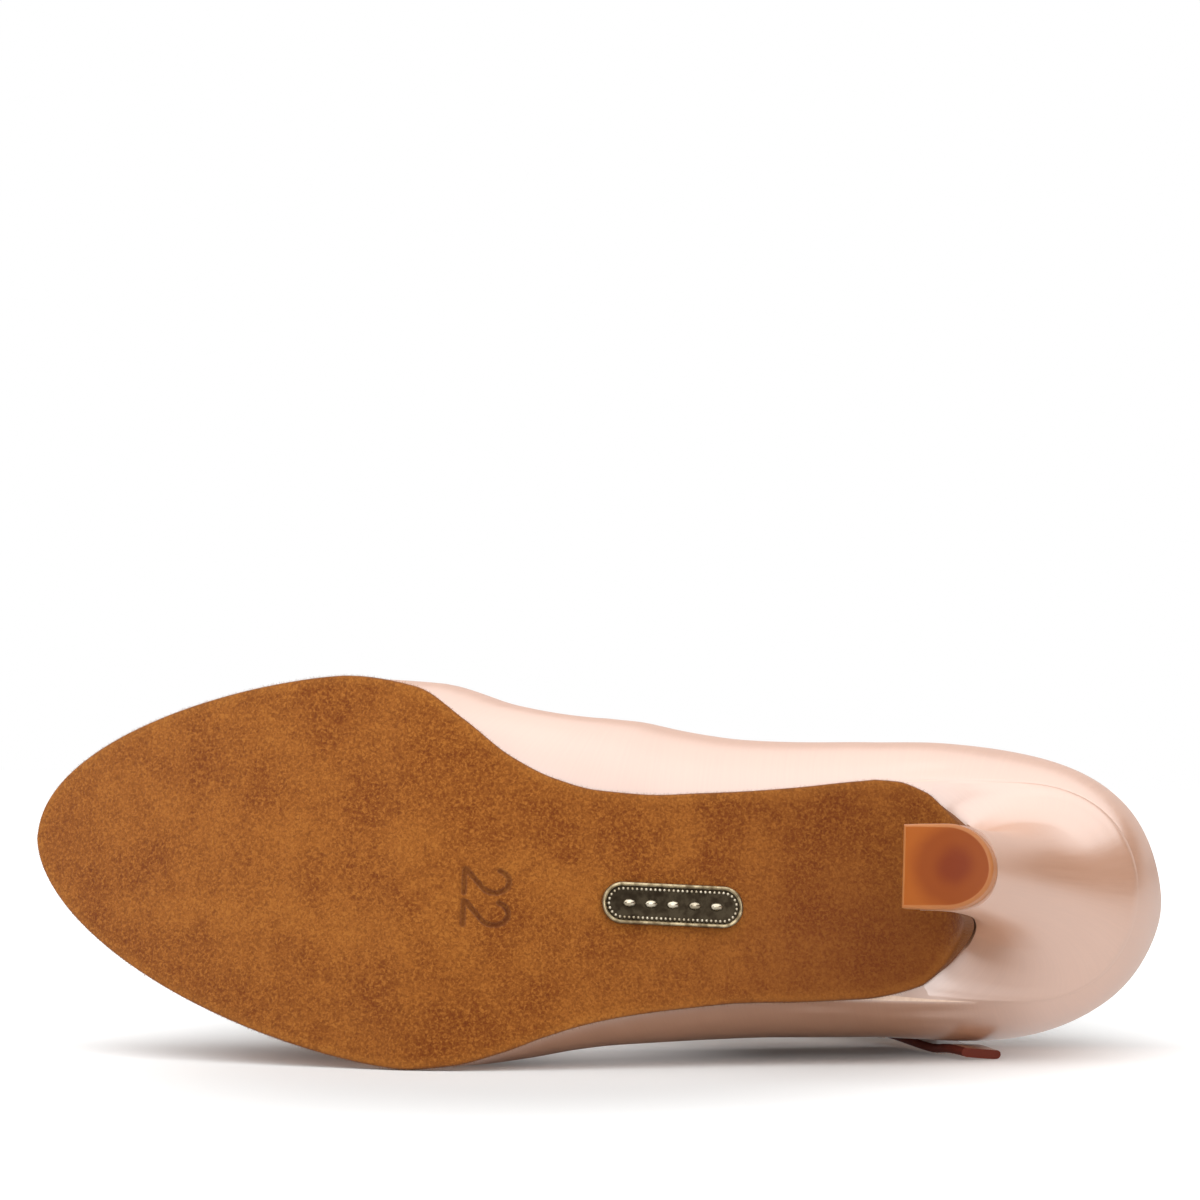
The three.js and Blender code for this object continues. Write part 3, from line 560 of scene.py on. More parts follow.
toe_x = BALL[INNER]["x"] + (LENGTH - BALL[INNER]["x"]) * np.sin(np.radians(np.linspace(89.3, 0, 110)))
fine = [(151, 128.5, 30), (128, 115, 66), (114.5, TONGUE_FROM, 80)]  # from x, to x, rows
waist_x = np.concatenate([np.linspace(*stretch) for stretch in fine])
plain_x = np.concatenate([toe_x, waist_x])
tongue = spline([(TONGUE_FROM, underside(TONGUE_FROM)), *[row[:2] for row in BREAST]])
tongue_rows = np.linspace(0, len(BREAST), 86)[1:]
tongue_half = {
    INNER: breast_curve(2, sole_edge(INNER, TONGUE_FROM))(tongue_rows),
    OUTER: breast_curve(3, sole_edge(OUTER, TONGUE_FROM))(tongue_rows),
}
sole_line = np.concatenate([np.stack([plain_x, underside(plain_x)], 1), tongue(tongue_rows)])
sole_half = {side: np.concatenate([sole_edge(side, plain_x), tongue_half[side]]) for side in (INNER, OUTER)}
run_along = np.concatenate([[0], np.cumsum(np.linalg.norm(np.diff(sole_line, axis=0), axis=1))])
heading = unit(np.gradient(sole_line, axis=0))
sole_in = np.stack([heading[:, 1], 0 * run_along, -heading[:, 0]], 1)  # from the underside into the shoe
sole_in[-1] = (-1, 0, 0)
slow = {side: np.minimum(np.hypot(1, np.gradient(sole_half[side], run_along)), 6) for side in (INNER, OUTER)}

# A figure 2 in a square of side 1: its bowl, the slanting stroke and the foot.
bowl = np.radians(np.linspace(160, -50, 16))
figure_two = [*zip(0.5 + 0.48 * np.cos(bowl), 0.68 + 0.32 * np.sin(bowl)), (0.02, 0.04), (0, 0), (1, 0)]


def pressed(points):
    """How deep the number is pressed at points of the underside, from 0 to 1."""
    deep = np.zeros(len(points))
    strokes = np.array(figure_two) * (DIGIT_WIDE, DIGIT_HIGH)
    for k in range(DIGITS):
        shift = (k - (DIGITS - 1) / 2) * DIGIT_PITCH - DIGIT_WIDE / 2
        line = DIGITS_AT + np.stack([DIGIT_HIGH / 2 - strokes[:, 1], -shift - strokes[:, 0]], 1)
        for a, b in zip(line[:-1], line[1:]):
            t = np.clip(((points - a) @ (b - a)) / ((b - a) @ (b - a)), 0, 1)
            away = np.linalg.norm(points - a - t[:, None] * (b - a), axis=1)
            deep = np.maximum(deep, np.clip(1.5 - 2 * away / STROKE_WIDE, 0, 1))
    return deep * deep * (3 - 2 * deep)


def mark(part, name, values):
    """A number on each point of a mesh, for its material."""
    held = part.data.attributes.new(name, "FLOAT", "POINT")
    held.data.foreach_set("value", np.asarray(values, np.float32).ravel())


warp = np.linspace(1, -1, 171)
warp = warp * (0.42 + 0.58 * warp ** 2)
insets = np.array([0, 0.06, 0.16, 0.32, 0.5]) * EDGE_ROUND / 0.5
breadth = sole_half[INNER] + sole_half[OUTER]
near = {}
for side in (INNER, OUTER):
    pace = np.minimum(slow[side], 0.4 * breadth)
    near[side] = sole_half[side][:, None] - pace[:, None] * insets
reach = near[INNER][:, -1:] + near[OUTER][:, -1:]
across = (near[INNER][:, -1:] - near[OUTER][:, -1:]) / 2 + reach / 2 * warp[1:-1]
across = np.concatenate([near[INNER], across, -near[OUTER][:, ::-1]], 1)
from_edge = np.minimum((sole_half[INNER][:, None] - across) / slow[INNER][:, None],
                       (across + sole_half[OUTER][:, None]) / slow[OUTER][:, None])
curl = np.clip(EDGE_ROUND - from_edge, 0, EDGE_ROUND)
lift = EDGE_ROUND - np.sqrt(np.maximum(EDGE_ROUND ** 2 - curl ** 2, 0))
flat = np.stack([np.broadcast_to(sole_line[:, :1], across.shape), across], -1)
number_rows = np.arange(len(across)) < len(plain_x)
stamp = np.where(number_rows[:, None], pressed(flat.reshape(-1, 2)).reshape(across.shape), 0)
lift = lift + STROKE_DEEP * stamp
below = np.stack([flat[..., 0], across, np.broadcast_to(sole_line[:, 1:], across.shape)], -1)
below = below + lift[..., None] * sole_in[:, None, :]
sides = []
for side, heights in ((OUTER, (0.5, 0.8, 1)), (INNER, (1, 0.8, 0.5))):
    foot = np.stack([sole_line[:, 0], side * sole_half[side], sole_line[:, 1]], 1)
    sides.append(np.stack([foot + sole_in * SOLE * h for h in heights], 1))
top_y = np.linspace(0, 1, 10)[None, 1:-1]
top_y = -sole_half[OUTER][:, None] * (1 - top_y) + sole_half[INNER][:, None] * top_y
above_sole = np.stack([np.broadcast_to(sole_line[:, :1], top_y.shape), top_y,
                       np.broadcast_to(sole_line[:, 1:], top_y.shape)], -1) + SOLE * sole_in[:, None, :]
sole_rings = np.concatenate([below, sides[0], above_sole, sides[1]], 1)
outsole = lofted("suede_outsole", sole_rings, sharp=60)
rest = sole_rings.shape[1] - across.shape[1]
mark(outsole, "stamp", np.pad(stamp, ((0, 0), (0, rest))))
mark(outsole, "cut", np.pad(np.clip(1 - from_edge / 3, 0, 1), ((0, 0), (0, rest)), constant_values=1))

# Suede: a mottled nap, lighter in patches where it was brushed, paler round the rim, darker at the cut edge
# and in the pressed number. A painted shade darkens it towards the heel and its outer side, low down near the
# floor.
suede, start = material("suede")
where = start.node("TexCoord", {}, {}, output=3)
brushed = start.noise(40, 2)
patches = (brushed * 0.35 + start.noise(11, 3) * 0.45 + start.noise(2.2, 3) * 0.2).span(0.34, 0.66)
tufts = start.node("TexNoise", {}, {"Vector": where, "Scale": 1800, "Detail": 3, "Distortion": 0.8})
nap = start.noise(0.45, 2)
tone = patches.blend(srgb(114, 58, 12), srgb(144, 85, 29))
tone = (tufts.span(0.46, 0.7) * (0.6 - patches * 0.15)).blend(tone, srgb(172, 110, 44))
tone = (tufts.span(0.52, 0.3) * (0.7 - patches * 0.25)).blend(tone, srgb(90, 41, 6))
# painted shade: the suede darker towards the heel, and more so lower down towards the floor
painted_shade_to_heel = start.node("SeparateXYZ", {}, {0: where}).span(0.0, 0.07, 0, 0.4)
painted_shade_low = start.node("SeparateXYZ", {}, {0: where}, output=2).span(0.046, 0.026, 0.7, 1.5)
tone = (painted_shade_to_heel * painted_shade_low).blend(tone, srgb(92, 43, 13))
tone = start.attribute("cut").span(0.15, 0.7, 0, 0.16).blend(tone, srgb(172, 112, 48))
tone = (start.attribute("stamp") * 0.6).blend(tone, srgb(80, 39, 14))
tone = start.attribute("cut").span(0.85, 1, 0, 0.4).blend(tone, srgb(83, 46, 17))
surface(start, Base_Color=tone, Roughness=0.95, Specular_IOR_Level=0.08, Sheen_Weight=0.1,
        Sheen_Roughness=0.6, Normal=start.bump(nap * 0.4 + tufts * 0.6, 0.5, 0.55))
outsole.data.materials.append(suede)
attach(outsole, "root")
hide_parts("outsole")

# Fuzz: fibres of the nap that stand out past the cut edge all round, thin cones that lean every way within a
# cone about the outward way.
fuzz_rows, start, given = growth("edge_fuzz", Pitch="Float", Length="Float", Radius="Float", Seed="Int",
                                 Nap="Material")
curve = start.node("GeometryNodeMeshToCurve", {}, {"Mesh": given["Path"]})
spots = start.node("GeometryNodeResampleCurve", {"mode": "LENGTH"},
                   {"Curve": curve, "Length": given["Pitch"]})
facing = start.node("GeometryNodeInputNamedAttribute", {"data_type": "FLOAT_VECTOR"}, {"Name": "outward"})
scatter = start.node("FunctionNodeRandomValue", {"data_type": "FLOAT_VECTOR"},
                     {"Min": (-0.9, -0.9, -0.9), "Max": (0.9, 0.9, 0.9), "Seed": given["Seed"]})
lean = start.node("VectorMath", {}, {0: facing, 1: scatter})
turn = start.node("FunctionNodeAlignRotationToVector", {"axis": "Z"}, {"Vector": lean})
size = start.node("FunctionNodeRandomValue", {"data_type": "FLOAT"},
                  {2: 0.35, 3: 1.0, "Seed": given["Seed"]}, output=1)
fibre = start.node("GeometryNodeMeshCone", {"fill_type": "NGON"},
                   {"Vertices": 3, "Radius Bottom": given["Radius"], "Depth": given["Length"]})
fibres = start.node("GeometryNodeInstanceOnPoints", {},
                    {"Points": spots, "Instance": fibre, "Rotation": turn, "Scale": size})
fibres = start.node("GeometryNodeRealizeInstances", {}, {"Geometry": fibres})
fibres = start.node("GeometryNodeSetMaterial", {}, {"Geometry": fibres, "Material": given["Nap"]})
start.node("NodeGroupOutput", {}, {"Grown": fibres})
FUZZ_ROWS = len(plain_x) + 44  # round the rim and half way down the breast
rims = []
for side in (INNER, OUTER):
    foot = np.stack([sole_line[:, 0], side * sole_half[side], sole_line[:, 1]], 1) + 0.5 * sole_in
    rims.append(foot[:FUZZ_ROWS])
fuzz_path = np.concatenate([rims[0][::-1], rims[1]])
tangent = unit(np.gradient(fuzz_path, axis=0))
fuzz_in = np.concatenate([sole_in[:FUZZ_ROWS][::-1], sole_in[:FUZZ_ROWS]])
fuzz_out = unit(np.cross(fuzz_in, tangent))
fuzz_out *= np.sign(np.einsum("ij,ij->i", fuzz_out, fuzz_path - [110, 0, 20]))[:, None]
fuzz = grown("edge_fuzz", fuzz_rows, fuzz_path, fuzz_out - 0.4 * fuzz_in, False,
             Pitch=0.00016, Length=0.0006, Radius=0.00004, Seed=7, Nap=suede)

# The heel
# A moulded flared heel with satin drawn round it. Its top is bent to the seat of the upper, where the cover's
# edge shows as a fine line, and its front is hidden by the tongue of the sole.
HEEL_ROUND = 0.4


def d_ring(back, front, wide, corner, widest=0.57, fullness=SEAT_FULLNESS, count=30):
    """A D in plan, round at the back and square at the front: x, y and each point's share of the way forward.

    wide and corner hold its half widths to the inner and outer side, at the widest place and at the front.
    """
    share = 1 - np.cos(np.linspace(0, math.pi / 2, count))

    def half(side):
        rear = wide[side] * np.sqrt(np.maximum(1 - np.clip(1 - share / widest, 0, 1) ** fullness, 0))
        fore = wide[side] + (corner[side] - wide[side]) * ((share - widest) / (1 - widest)) ** 2
        return np.where(share < widest, rear, fore)

    x = back + (front - back) * share
    return (np.concatenate([x[::-1], x[1:]]),
            np.concatenate([-half(1)[::-1], half(0)[1:]]),
            np.concatenate([share[::-1], share[1:]]))


seat = above(SOLE + GAP - 0.05)
heel_rows = np.concatenate([np.linspace(1, 1.4, 9), np.linspace(1.5, len(BREAST), 90)])
heel_rings = []
for k in heel_rows:
    spot = tongue(k)
    ahead = unit(tongue(min(k + 0.05, len(BREAST))) - tongue(k - 0.05))
    normal_in = np.array([ahead[1], -ahead[0]]) if k < len(BREAST) else np.array([-1, 0])
    front = spot + normal_in * (SOLE + GAP + 0.15)
    wide = breast_curve(6)(k), breast_curve(7)(k)
    corner = np.minimum((breast_curve(2)(k) + GAP, breast_curve(3)(k) + GAP), wide)
    x, y, share = d_ring(breast_curve(4)(k), front[0], wide, corner)
    flat_z = breast_curve(5)(k) + (front[1] - breast_curve(5)(k)) * share
    bend = max(1 - (k - 1) / 3, 0) * 6 * share * (1 - share)
    top_share = np.clip((1.5 - k) / 0.5, 0, 1)
    z = flat_z + top_share * (seat(x) - flat_z) + (1 - top_share) * bend
    tuck = HEEL_ROUND * (1 - math.sqrt(1 - np.clip(1 - (k - 1) / 0.3, 0, 1) ** 2))
    centre = np.array([(x.max() + x.min()) / 2, (y.max() + y.min()) / 2])
    spokes = np.stack([x, y], 1) - centre
    spokes *= 1 - tuck / np.maximum(np.linalg.norm(spokes, axis=1, keepdims=True), 1)
    heel_rings.append(np.concatenate([spokes + centre, z[:, None]], 1))
heel_rings = np.array(heel_rings)
heel_down = np.concatenate([[0], np.cumsum(np.linalg.norm(np.diff(heel_rings, axis=0), axis=-1).mean(1))])
heel_round = np.concatenate([[0], np.cumsum(np.linalg.norm(np.diff(heel_rings[30], axis=0), axis=-1)), [120]])
heel = lofted("covered_heel", heel_rings, uv=(heel_down, heel_round), turned=True)
heel.data.materials.append(satin)
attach(heel, "root")
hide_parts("heel")

# The heel tip
# A D-shaped block of clear amber plastic, pinned into the heel. The pin shows through as a dark red core, and
# the rounded rim is painted paler, a painted highlight of light catching it.
TIP, TIP_ROUND = 4, 0.9
TIP_MIDDLE, PIN_AT = np.array([26.7, 0.6]), (25.4, 0.6)
quarter = np.radians(np.linspace(0, 90, 7))
bevel = [(TIP_ROUND * (1 - math.sin(t)), TIP_ROUND * (1 - math.cos(t))) for t in quarter]
tip_profile = [*bevel, (0, 2), (0, 3), (0, TIP - 0.2), (0.2, TIP)]  # how far in, and how high
foot = BREAST[-1]
x, y, _ = d_ring(foot[4], foot[0] + 0.1, foot[6:], foot[2:4], widest=0.52, fullness=2, count=40)
spokes = np.stack([x, y], 1) - TIP_MIDDLE
tip_rings = []
for inset, z in tip_profile:
    drawn_in = TIP_MIDDLE + spokes * (1 - inset / np.linalg.norm(spokes, axis=1, keepdims=True))
    tip_rings.append(np.concatenate([drawn_in, np.full((len(x), 1), z)], 1))
heel_tip = lofted("amber_tip", np.array(tip_rings))
# the rounded rim, marked for a painted highlight
mark(heel_tip, "rim", np.repeat([inset < 0.9 * TIP_ROUND for inset, _ in tip_profile], len(x)))

amber, start = material("amber_plastic")
spot = start.node("TexCoord", {}, {}, output=3)
pin = tuple(place([*PIN_AT, 0]))
away = start.node("VectorMath", {"operation": "DISTANCE"}, {0: spot, 1: pin}, output=1) * 1000
cloudy = start.noise(5, 2)
tone = (away + cloudy * 1.6).span(2.2, 6.2).blend(srgb(114, 44, 10), srgb(130, 60, 12))
tone = (away + cloudy * 1.6).span(7, 11).blend(tone, srgb(152, 79, 20))
# painted highlight: the rounded rim paler, as light catching it
tone = start.attribute("rim").span(0, 1, 0, 0.45).blend(tone, srgb(184, 128, 80))
surface(start, Base_Color=tone, Roughness=0.4, Specular_IOR_Level=0.2, Subsurface_Weight=0.15,
        Subsurface_Radius=(0.004, 0.002, 0.001), Coat_Weight=0.08, Coat_Roughness=0.2,
        Normal=start.bump(start.noise(0.7, 3), 0.05, 0.4))
heel_tip.data.materials.append(amber)
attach(heel_tip, "root")
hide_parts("heel_tip")

# The strap
# A satin band sewn inside the inner quarter. It crosses the instep, passes under the buckle's front bar and
# ends in a square free tail on the outer quarter. Its rounded edges and both ends are dark red, a painted
# shade of the shadow the tail lies in, with a row of stitches beside each edge.
STRAP_WIDE, STRAP_THICK = 9, 1.8
TAB_WIDE, TAB_THICK, TAB_LONG, TAB_EYE = 8, 1, 13, 1.2
BUCKLE_LONG, BUCKLE_WIDE, BUCKLE_BAR, BUCKLE_TILT = 10.5, 12.4, 1.3, math.radians(17)
buckle_lap, tail_lap = lap_of(OUTER, 55), lap_of(OUTER, 34)
buckle_foot = wall(buckle_lap, 1)
out = wall_normal(buckle_lap, 0.97)
along = wall(tail_lap, 0.36) - buckle_foot
along = unit(along - out * (along @ out))
sideways = np.cross(out, along)
eye_radius = TAB_EYE + TAB_THICK
bar = buckle_foot - 5 * along + (eye_radius + GAP + 0.05) * out


def at_buckle(down, high, wide=0):
    """A point in the buckle's own frame: down the strap's tail, away from the shoe, and across."""
    return bar + along * down + out * high + sideways * wide


def on_wall(lap, up, lift):
    return wall(lap, up) + wall_normal(lap, up) * lift, wall_normal(lap, up)


sewn = -WALL - GAP - 0.1 - STRAP_THICK
strap_rows = [
    on_wall(lap_of(INNER, 62), 0.66, sewn),
    on_wall(lap_of(INNER, 66), 0.82, sewn),
    on_wall(lap_of(INNER, 71), 1, sewn),
    ((83, 14.5, 89.5), (0.4, 0.7, 0.6)),
    ((89.5, 2, 96.5), (0.55, 0.05, 0.83)),
    ((83.5, -12.5, 97.8), (0.42, -0.6, 0.68)),
    (at_buckle(-11.5, -1.1), out),
    (at_buckle(-6, 0.3), out),
    (at_buckle(0, eye_radius + GAP + 0.1), out),
    (at_buckle(5, 0.9), out),
    on_wall(0.42 * buckle_lap + 0.58 * tail_lap, 0.64, 1.1),
    on_wall(0.2 * buckle_lap + 0.8 * tail_lap, 0.46, 0.8),
    on_wall(tail_lap, 0.32, 2.9),
]


def banded(rows, count):
    """Sections along a flat band: middle of its inner face, the way along, the way across and the way out."""
    path = spline([at for at, _ in rows])
    facing = [through([(i, way[k]) for i, (_, way) in enumerate(rows)]) for k in range(3)]
    row = np.linspace(0, len(rows) - 1, count)
    middle = path(row)
    ahead = unit(np.gradient(middle, axis=0))
    away = np.stack([f(row) for f in facing], -1)
    away = unit(away - ahead * np.einsum("ij,ij->i", away, ahead)[:, None])
    return middle, ahead, np.cross(ahead, away), away


def band_rings(sections, wide, thick, crown=0.12):
    """Rings of a band with rounded edges and a slightly padded face."""
    middle, _, across, away = sections
    turn = np.radians(np.linspace(-90, 90, 7))
    r = thick / 2
    right = [(wide / 2 - r + r * math.cos(t), r + r * math.sin(t)) for t in turn]
    over = np.linspace(wide / 2 - r, r - wide / 2, 13)[1:-1]
    face = [(w, thick + crown * (1 - (2 * w / wide) ** 2)) for w in over]
    profile = right + face + [(-w, h) for w, h in right[::-1]]
    return np.stack([middle + across * w + away * h for w, h in profile], 1)


strap_sections = banded(strap_rows, 300)
strap_rings = band_rings(strap_sections, STRAP_WIDE, STRAP_THICK)
strap_down = np.concatenate([[0], np.cumsum(np.linalg.norm(np.diff(strap_sections[0], axis=0), axis=1))])
strap_round = np.concatenate([[0], np.cumsum(np.linalg.norm(np.diff(strap_rings[0], axis=0), axis=1)), [22]])
strap = lofted("instep_strap", strap_rings, uv=(strap_down, strap_round))
# painted shade: dark red on the strap's edges and ends, standing for the shadow round its tail
painted_edge_shade, start = material("painted_edge_shade")
surface(start, Base_Color=srgb(104, 42, 28), Roughness=0.7, Specular_IOR_Level=0.25)
strap.data.materials.append(satin)
strap.data.materials.append(painted_edge_shade)
columns = strap_rings.shape[1]
for face in strap.data.polygons:
    spots = [v % columns for v in face.vertices]
    rounded = max(spots) < 7 or min(spots) > columns - 8  # the faces of one rounded edge
    face.material_index = int(rounded or len(spots) > 4)
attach(strap, "root")
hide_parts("strap")
for label, side in (("front", 1), ("rear", -1)):
    middle, _, across, away = [part[3:-3] for part in strap_sections]
    row = middle + across * side * (STRAP_WIDE / 2 - 1.6) + away * (STRAP_THICK + 0.02)
    stitches = grown("strap_stitches_" + label, stitch_rows, row, away, False,
                     Pitch=0.0021, Length=0.0008, Radius=0.0002, Thread=sewing_thread)

# The buckle tab
# A short satin strip sewn to the outer quarter under the tail, folded to an eye round the buckle's rear bar.
eye_middle = TAB_EYE + TAB_THICK / 2
eye_turn = np.radians(np.linspace(-90, -395, 40))
tab_path = [(d, -eye_middle) for d in np.linspace(TAB_LONG, 0.8, 16)]
tab_path += [(eye_middle * math.cos(t), eye_middle * math.sin(t)) for t in eye_turn]
tab_path = np.array(tab_path)
tab_middle = np.array([at_buckle(d, h) for d, h in tab_path])
tab_ahead = unit(np.gradient(tab_middle, axis=0))
tab_away = unit(np.cross(tab_ahead, sideways))
tab_inside = tab_middle - tab_away * TAB_THICK / 2
tab_sections = (tab_inside, tab_ahead, np.broadcast_to(sideways, tab_inside.shape), tab_away)
tab_rings = band_rings(tab_sections, TAB_WIDE, TAB_THICK, crown=0)
tab_uv = (np.arange(len(tab_rings)) * 0.7, np.append(np.linspace(0, 18, tab_rings.shape[1]), 18.5))
buckle_tab = lofted("buckle_tab_strip", tab_rings, uv=tab_uv)
buckle_tab.data.materials.append(satin)
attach(buckle_tab, "root")
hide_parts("buckle_tab")

# The buckle
# A small wire frame with rounded corners, tilted so that the strap runs under its front bar, and a prong from
# the rear bar that passes through the strap.
silver, start = material("antique_silver")
tarnish = start.noise(2.2, 4)
hairlines = start.noise(0.5, 2)
tone = tarnish.span(0.35, 0.7).blend(srgb(214, 204, 184), srgb(160, 146, 122))
surface(start, Base_Color=tone, Metallic=1.0, Roughness=hairlines.span(0.3, 0.7, 0.2, 0.36),
        Normal=start.bump(hairlines, 0.02, 0.4))
BUCKLE_CORNER = 1.5
frame_path = []
for ends, flanks, start_angle in ((1, 1, 0), (-1, 1, 90), (-1, -1, 180), (1, -1, 270)):
    for t in np.radians(np.linspace(start_angle, start_angle + 90, 9)):
        d = ends * (BUCKLE_LONG / 2 - BUCKLE_CORNER) + BUCKLE_CORNER * math.cos(t) - BUCKLE_LONG / 2
        w = flanks * (BUCKLE_WIDE / 2 - BUCKLE_CORNER) + BUCKLE_CORNER * math.sin(t)
        frame_path.append(at_buckle(d * math.cos(BUCKLE_TILT), -d * math.sin(BUCKLE_TILT), w))
frame_path = np.array(frame_path)
frame_up = unit(out * math.cos(BUCKLE_TILT) + along * math.sin(BUCKLE_TILT))


def bent_rod(path, radius, up=None, joined=False, squareness=1.0):
    """Rings of a rod along a path. Below 1, squareness flattens its round section towards a square."""
    ahead = np.roll(path, -1, 0) - np.roll(path, 1, 0) if joined else np.gradient(path, axis=0)
    ahead = unit(ahead)
    up = sideways if up is None else up
    first = unit(up - ahead * (ahead @ up)[:, None])
    second = np.cross(ahead, first)
    turn = np.linspace(0, 2 * math.pi, 16, endpoint=False)
    flat = [np.sign(v) * np.abs(v) ** squareness for v in (np.cos(turn), np.sin(turn))]
    radius = np.broadcast_to(radius, len(path))[:, None, None]
    return path[:, None] + radius * (first[:, None] * flat[0][:, None] + second[:, None] * flat[1][:, None])


buckle = lofted("buckle_wire", bent_rod(frame_path, BUCKLE_BAR / 2, frame_up, True, 0.6), joined=True)
front_bar = BUCKLE_LONG * math.sin(BUCKLE_TILT)
over_bar = front_bar + BUCKLE_BAR / 2
prong_row = [at_buckle(-eye_radius - 1, 0.3), at_buckle(-4.6, 2.2), at_buckle(-7, over_bar + 0.6),
             at_buckle(-BUCKLE_LONG - 0.9, over_bar + 0.85)]
prong_place = np.linspace(0, 3, 48)
prong_thick = 0.55 * np.sqrt(np.clip(np.minimum(prong_place, 3 - prong_place) / 0.12, 0.05, 1))
prong = lofted("buckle_tongue", bent_rod(spline(prong_row)(prong_place), prong_thick))
for piece, node in ((buckle, "buckle_frame"), (prong, "buckle_prong")):
    piece.data.materials.append(silver)
    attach(piece, "root")
    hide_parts(node)

# The badge
# A plain oval plate of antique silver pinned to the waist, with a raised rim, a line of beads inside it and a
# row of small bosses. Its ground is darkened.
BADGE_AT, BADGE_LONG, BADGE_WIDE, BADGE_THICK, BADGE_RIM = (88.3, -6.2), 29, 8.4, 0.9, 0.4
badge_grade = float(underside(BADGE_AT[0] + 12) - underside(BADGE_AT[0] - 12)) / 24
badge_run = unit(np.array([1, 0, badge_grade]))
badge_down = unit(np.array([badge_grade, 0, -1]))
badge_side = np.cross(badge_down, badge_run)
badge_base = np.array([*BADGE_AT, float(underside(BADGE_AT[0]))]) + badge_down * (GAP + 0.05)


def badge_oval(inset, count=96):
    """A stadium that much inside the badge's outline, in its own plane."""
    radius, straight = BADGE_WIDE / 2 - inset, BADGE_LONG / 2 - BADGE_WIDE / 2
    turn = np.linspace(-math.pi / 2, math.pi / 2, count // 2)
    right = np.stack([straight + radius * np.cos(turn), radius * np.sin(turn)], 1)
    return np.concatenate([right, -right])


def on_badge(flat, high):
    return badge_base + flat[:, :1] * badge_run + flat[:, 1:] * badge_side + badge_down * high


RIM_PROFILE = [  # how far in, and how high
    (0.15, 0), (0, 0.15), (0, 1.05), (0.2, 1.25), (0.45, BADGE_THICK + BADGE_RIM), (0.65, 1.2),
    (0.8, BADGE_THICK), (1.1, 0.86),
]
badge_rings = [on_badge(badge_oval(inset), high) for inset, high in RIM_PROFILE]
badge = lofted("waist_badge", np.array(badge_rings), sharp=60)
mark(badge, "ground", [inset > 0.7 for inset, _ in RIM_PROFILE for _ in range(len(badge_rings[0]))])
bead_path = on_badge(badge_oval(1.35), BADGE_THICK)
beads = grown("badge_beads", stitch_rows, bead_path, np.broadcast_to(badge_down, bead_path.shape), True,
              Pitch=0.00095, Length=0.00036, Radius=0.00036, Thread=silver)
boss_row = on_badge(np.stack([np.linspace(-9, 9, 40), np.zeros(40)], 1), BADGE_THICK)
bosses = grown("badge_bosses", stitch_rows, boss_row, np.broadcast_to(badge_down, boss_row.shape), False,
               Pitch=0.0036, Length=0.0014, Radius=0.0009, Thread=silver)

patina, start = material("darkened_silver")
tarnish = start.noise(1.6, 4)
tone = tarnish.span(0.35, 0.7).blend(srgb(178, 162, 130), srgb(112, 96, 72))
tone = start.attribute("ground").span(0.4, 1, 0, 0.95).blend(tone, srgb(34, 27, 20))
surface(start, Base_Color=tone, Metallic=1.0, Roughness=tarnish.span(0.3, 0.7, 0.22, 0.42),
        Normal=start.bump(tarnish, 0.04, 0.4))
badge.data.materials.append(patina)
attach(badge, "root")
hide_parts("badge")

# The floor, the light and the camera
# A pale paper floor that glows to white away from the shoe and in a painted pool of light under the arch,
# a white surround behind it, large soft lights above, in front and behind, and a view from the sole side,
# turned a little to the heel.
FLOOR_HALF, SURROUND = 1.4, 8.0


def sheet(name, z):
    """A wide level square at a height."""
    mesh = bpy.data.meshes.new(name)
    ways = ((-1, -1), (1, -1), (1, 1), (-1, 1))
    mesh.from_pydata([(x * FLOOR_HALF, y * FLOOR_HALF, z) for x, y in ways], [], [(0, 1, 2, 3)])
    return bpy.data.objects.new(name, mesh)


def spread_from(start, centre, stretch):
    """Distance along the floor from a point, in stretched metres."""
    spot = start.node("TexCoord", {}, {}, output=3)
    spot = start.node("VectorMath", {"operation": "SUBTRACT"}, {0: spot, 1: centre})
    spot = start.node("VectorMath", {"operation": "MULTIPLY"}, {0: spot, 1: stretch})
    return start.node("VectorMath", {"operation": "LENGTH"}, {0: spot}, output=1)


floor = sheet("floor", 0)
paper, start = material("white_paper")
away = spread_from(start, (0, 0, 0), (10, 6, 1))
painted_light_under_arch = spread_from(start, (-0.012, -0.002, 0), (1, 1, 1))
# The paper glows: not at all close to the shoe, more and more beyond it, and in a painted pool of light under
# the arch, lightening the shoe's shadow there.
glow = away.span(0.5, 1.4) * 0.6 + away.span(1.6, 5) * 0.32 + painted_light_under_arch.span(0.05, 0, 0, 0.34)
surface(start, Base_Color=(0.78, 0.78, 0.775, 1), Roughness=0.8, Specular_IOR_Level=0.2,
        Emission_Strength=1.0, Emission_Color=glow.blend((0, 0, 0, 1), (1, 1, 1, 1)))
floor.data.materials.append(paper)

# A glowing sheet under the paper, seen only in the satin's reflections, a painted reflection of the paper: a
# painted shade close to the shoe, and lit paper beyond.
painted_reflection_sheet = sheet("mirrored_paper", -0.004)
mirrored_paper, start = material("mirrored_paper")
beyond = spread_from(start, (0, 0, 0), (8, 14, 1)).span(0.5, 0.8, 0.03, 0.9)
surface(start, Base_Color=(0, 0, 0, 1), Specular_IOR_Level=0.0,
        Emission_Strength=1.0, Emission_Color=beyond.blend((0, 0, 0, 1), (1, 1, 1, 1)))
painted_reflection_sheet.data.materials.append(mirrored_paper)
painted_reflection_sheet.visible_camera = painted_reflection_sheet.visible_diffuse = painted_reflection_sheet.visible_shadow = False
floor.visible_glossy = False

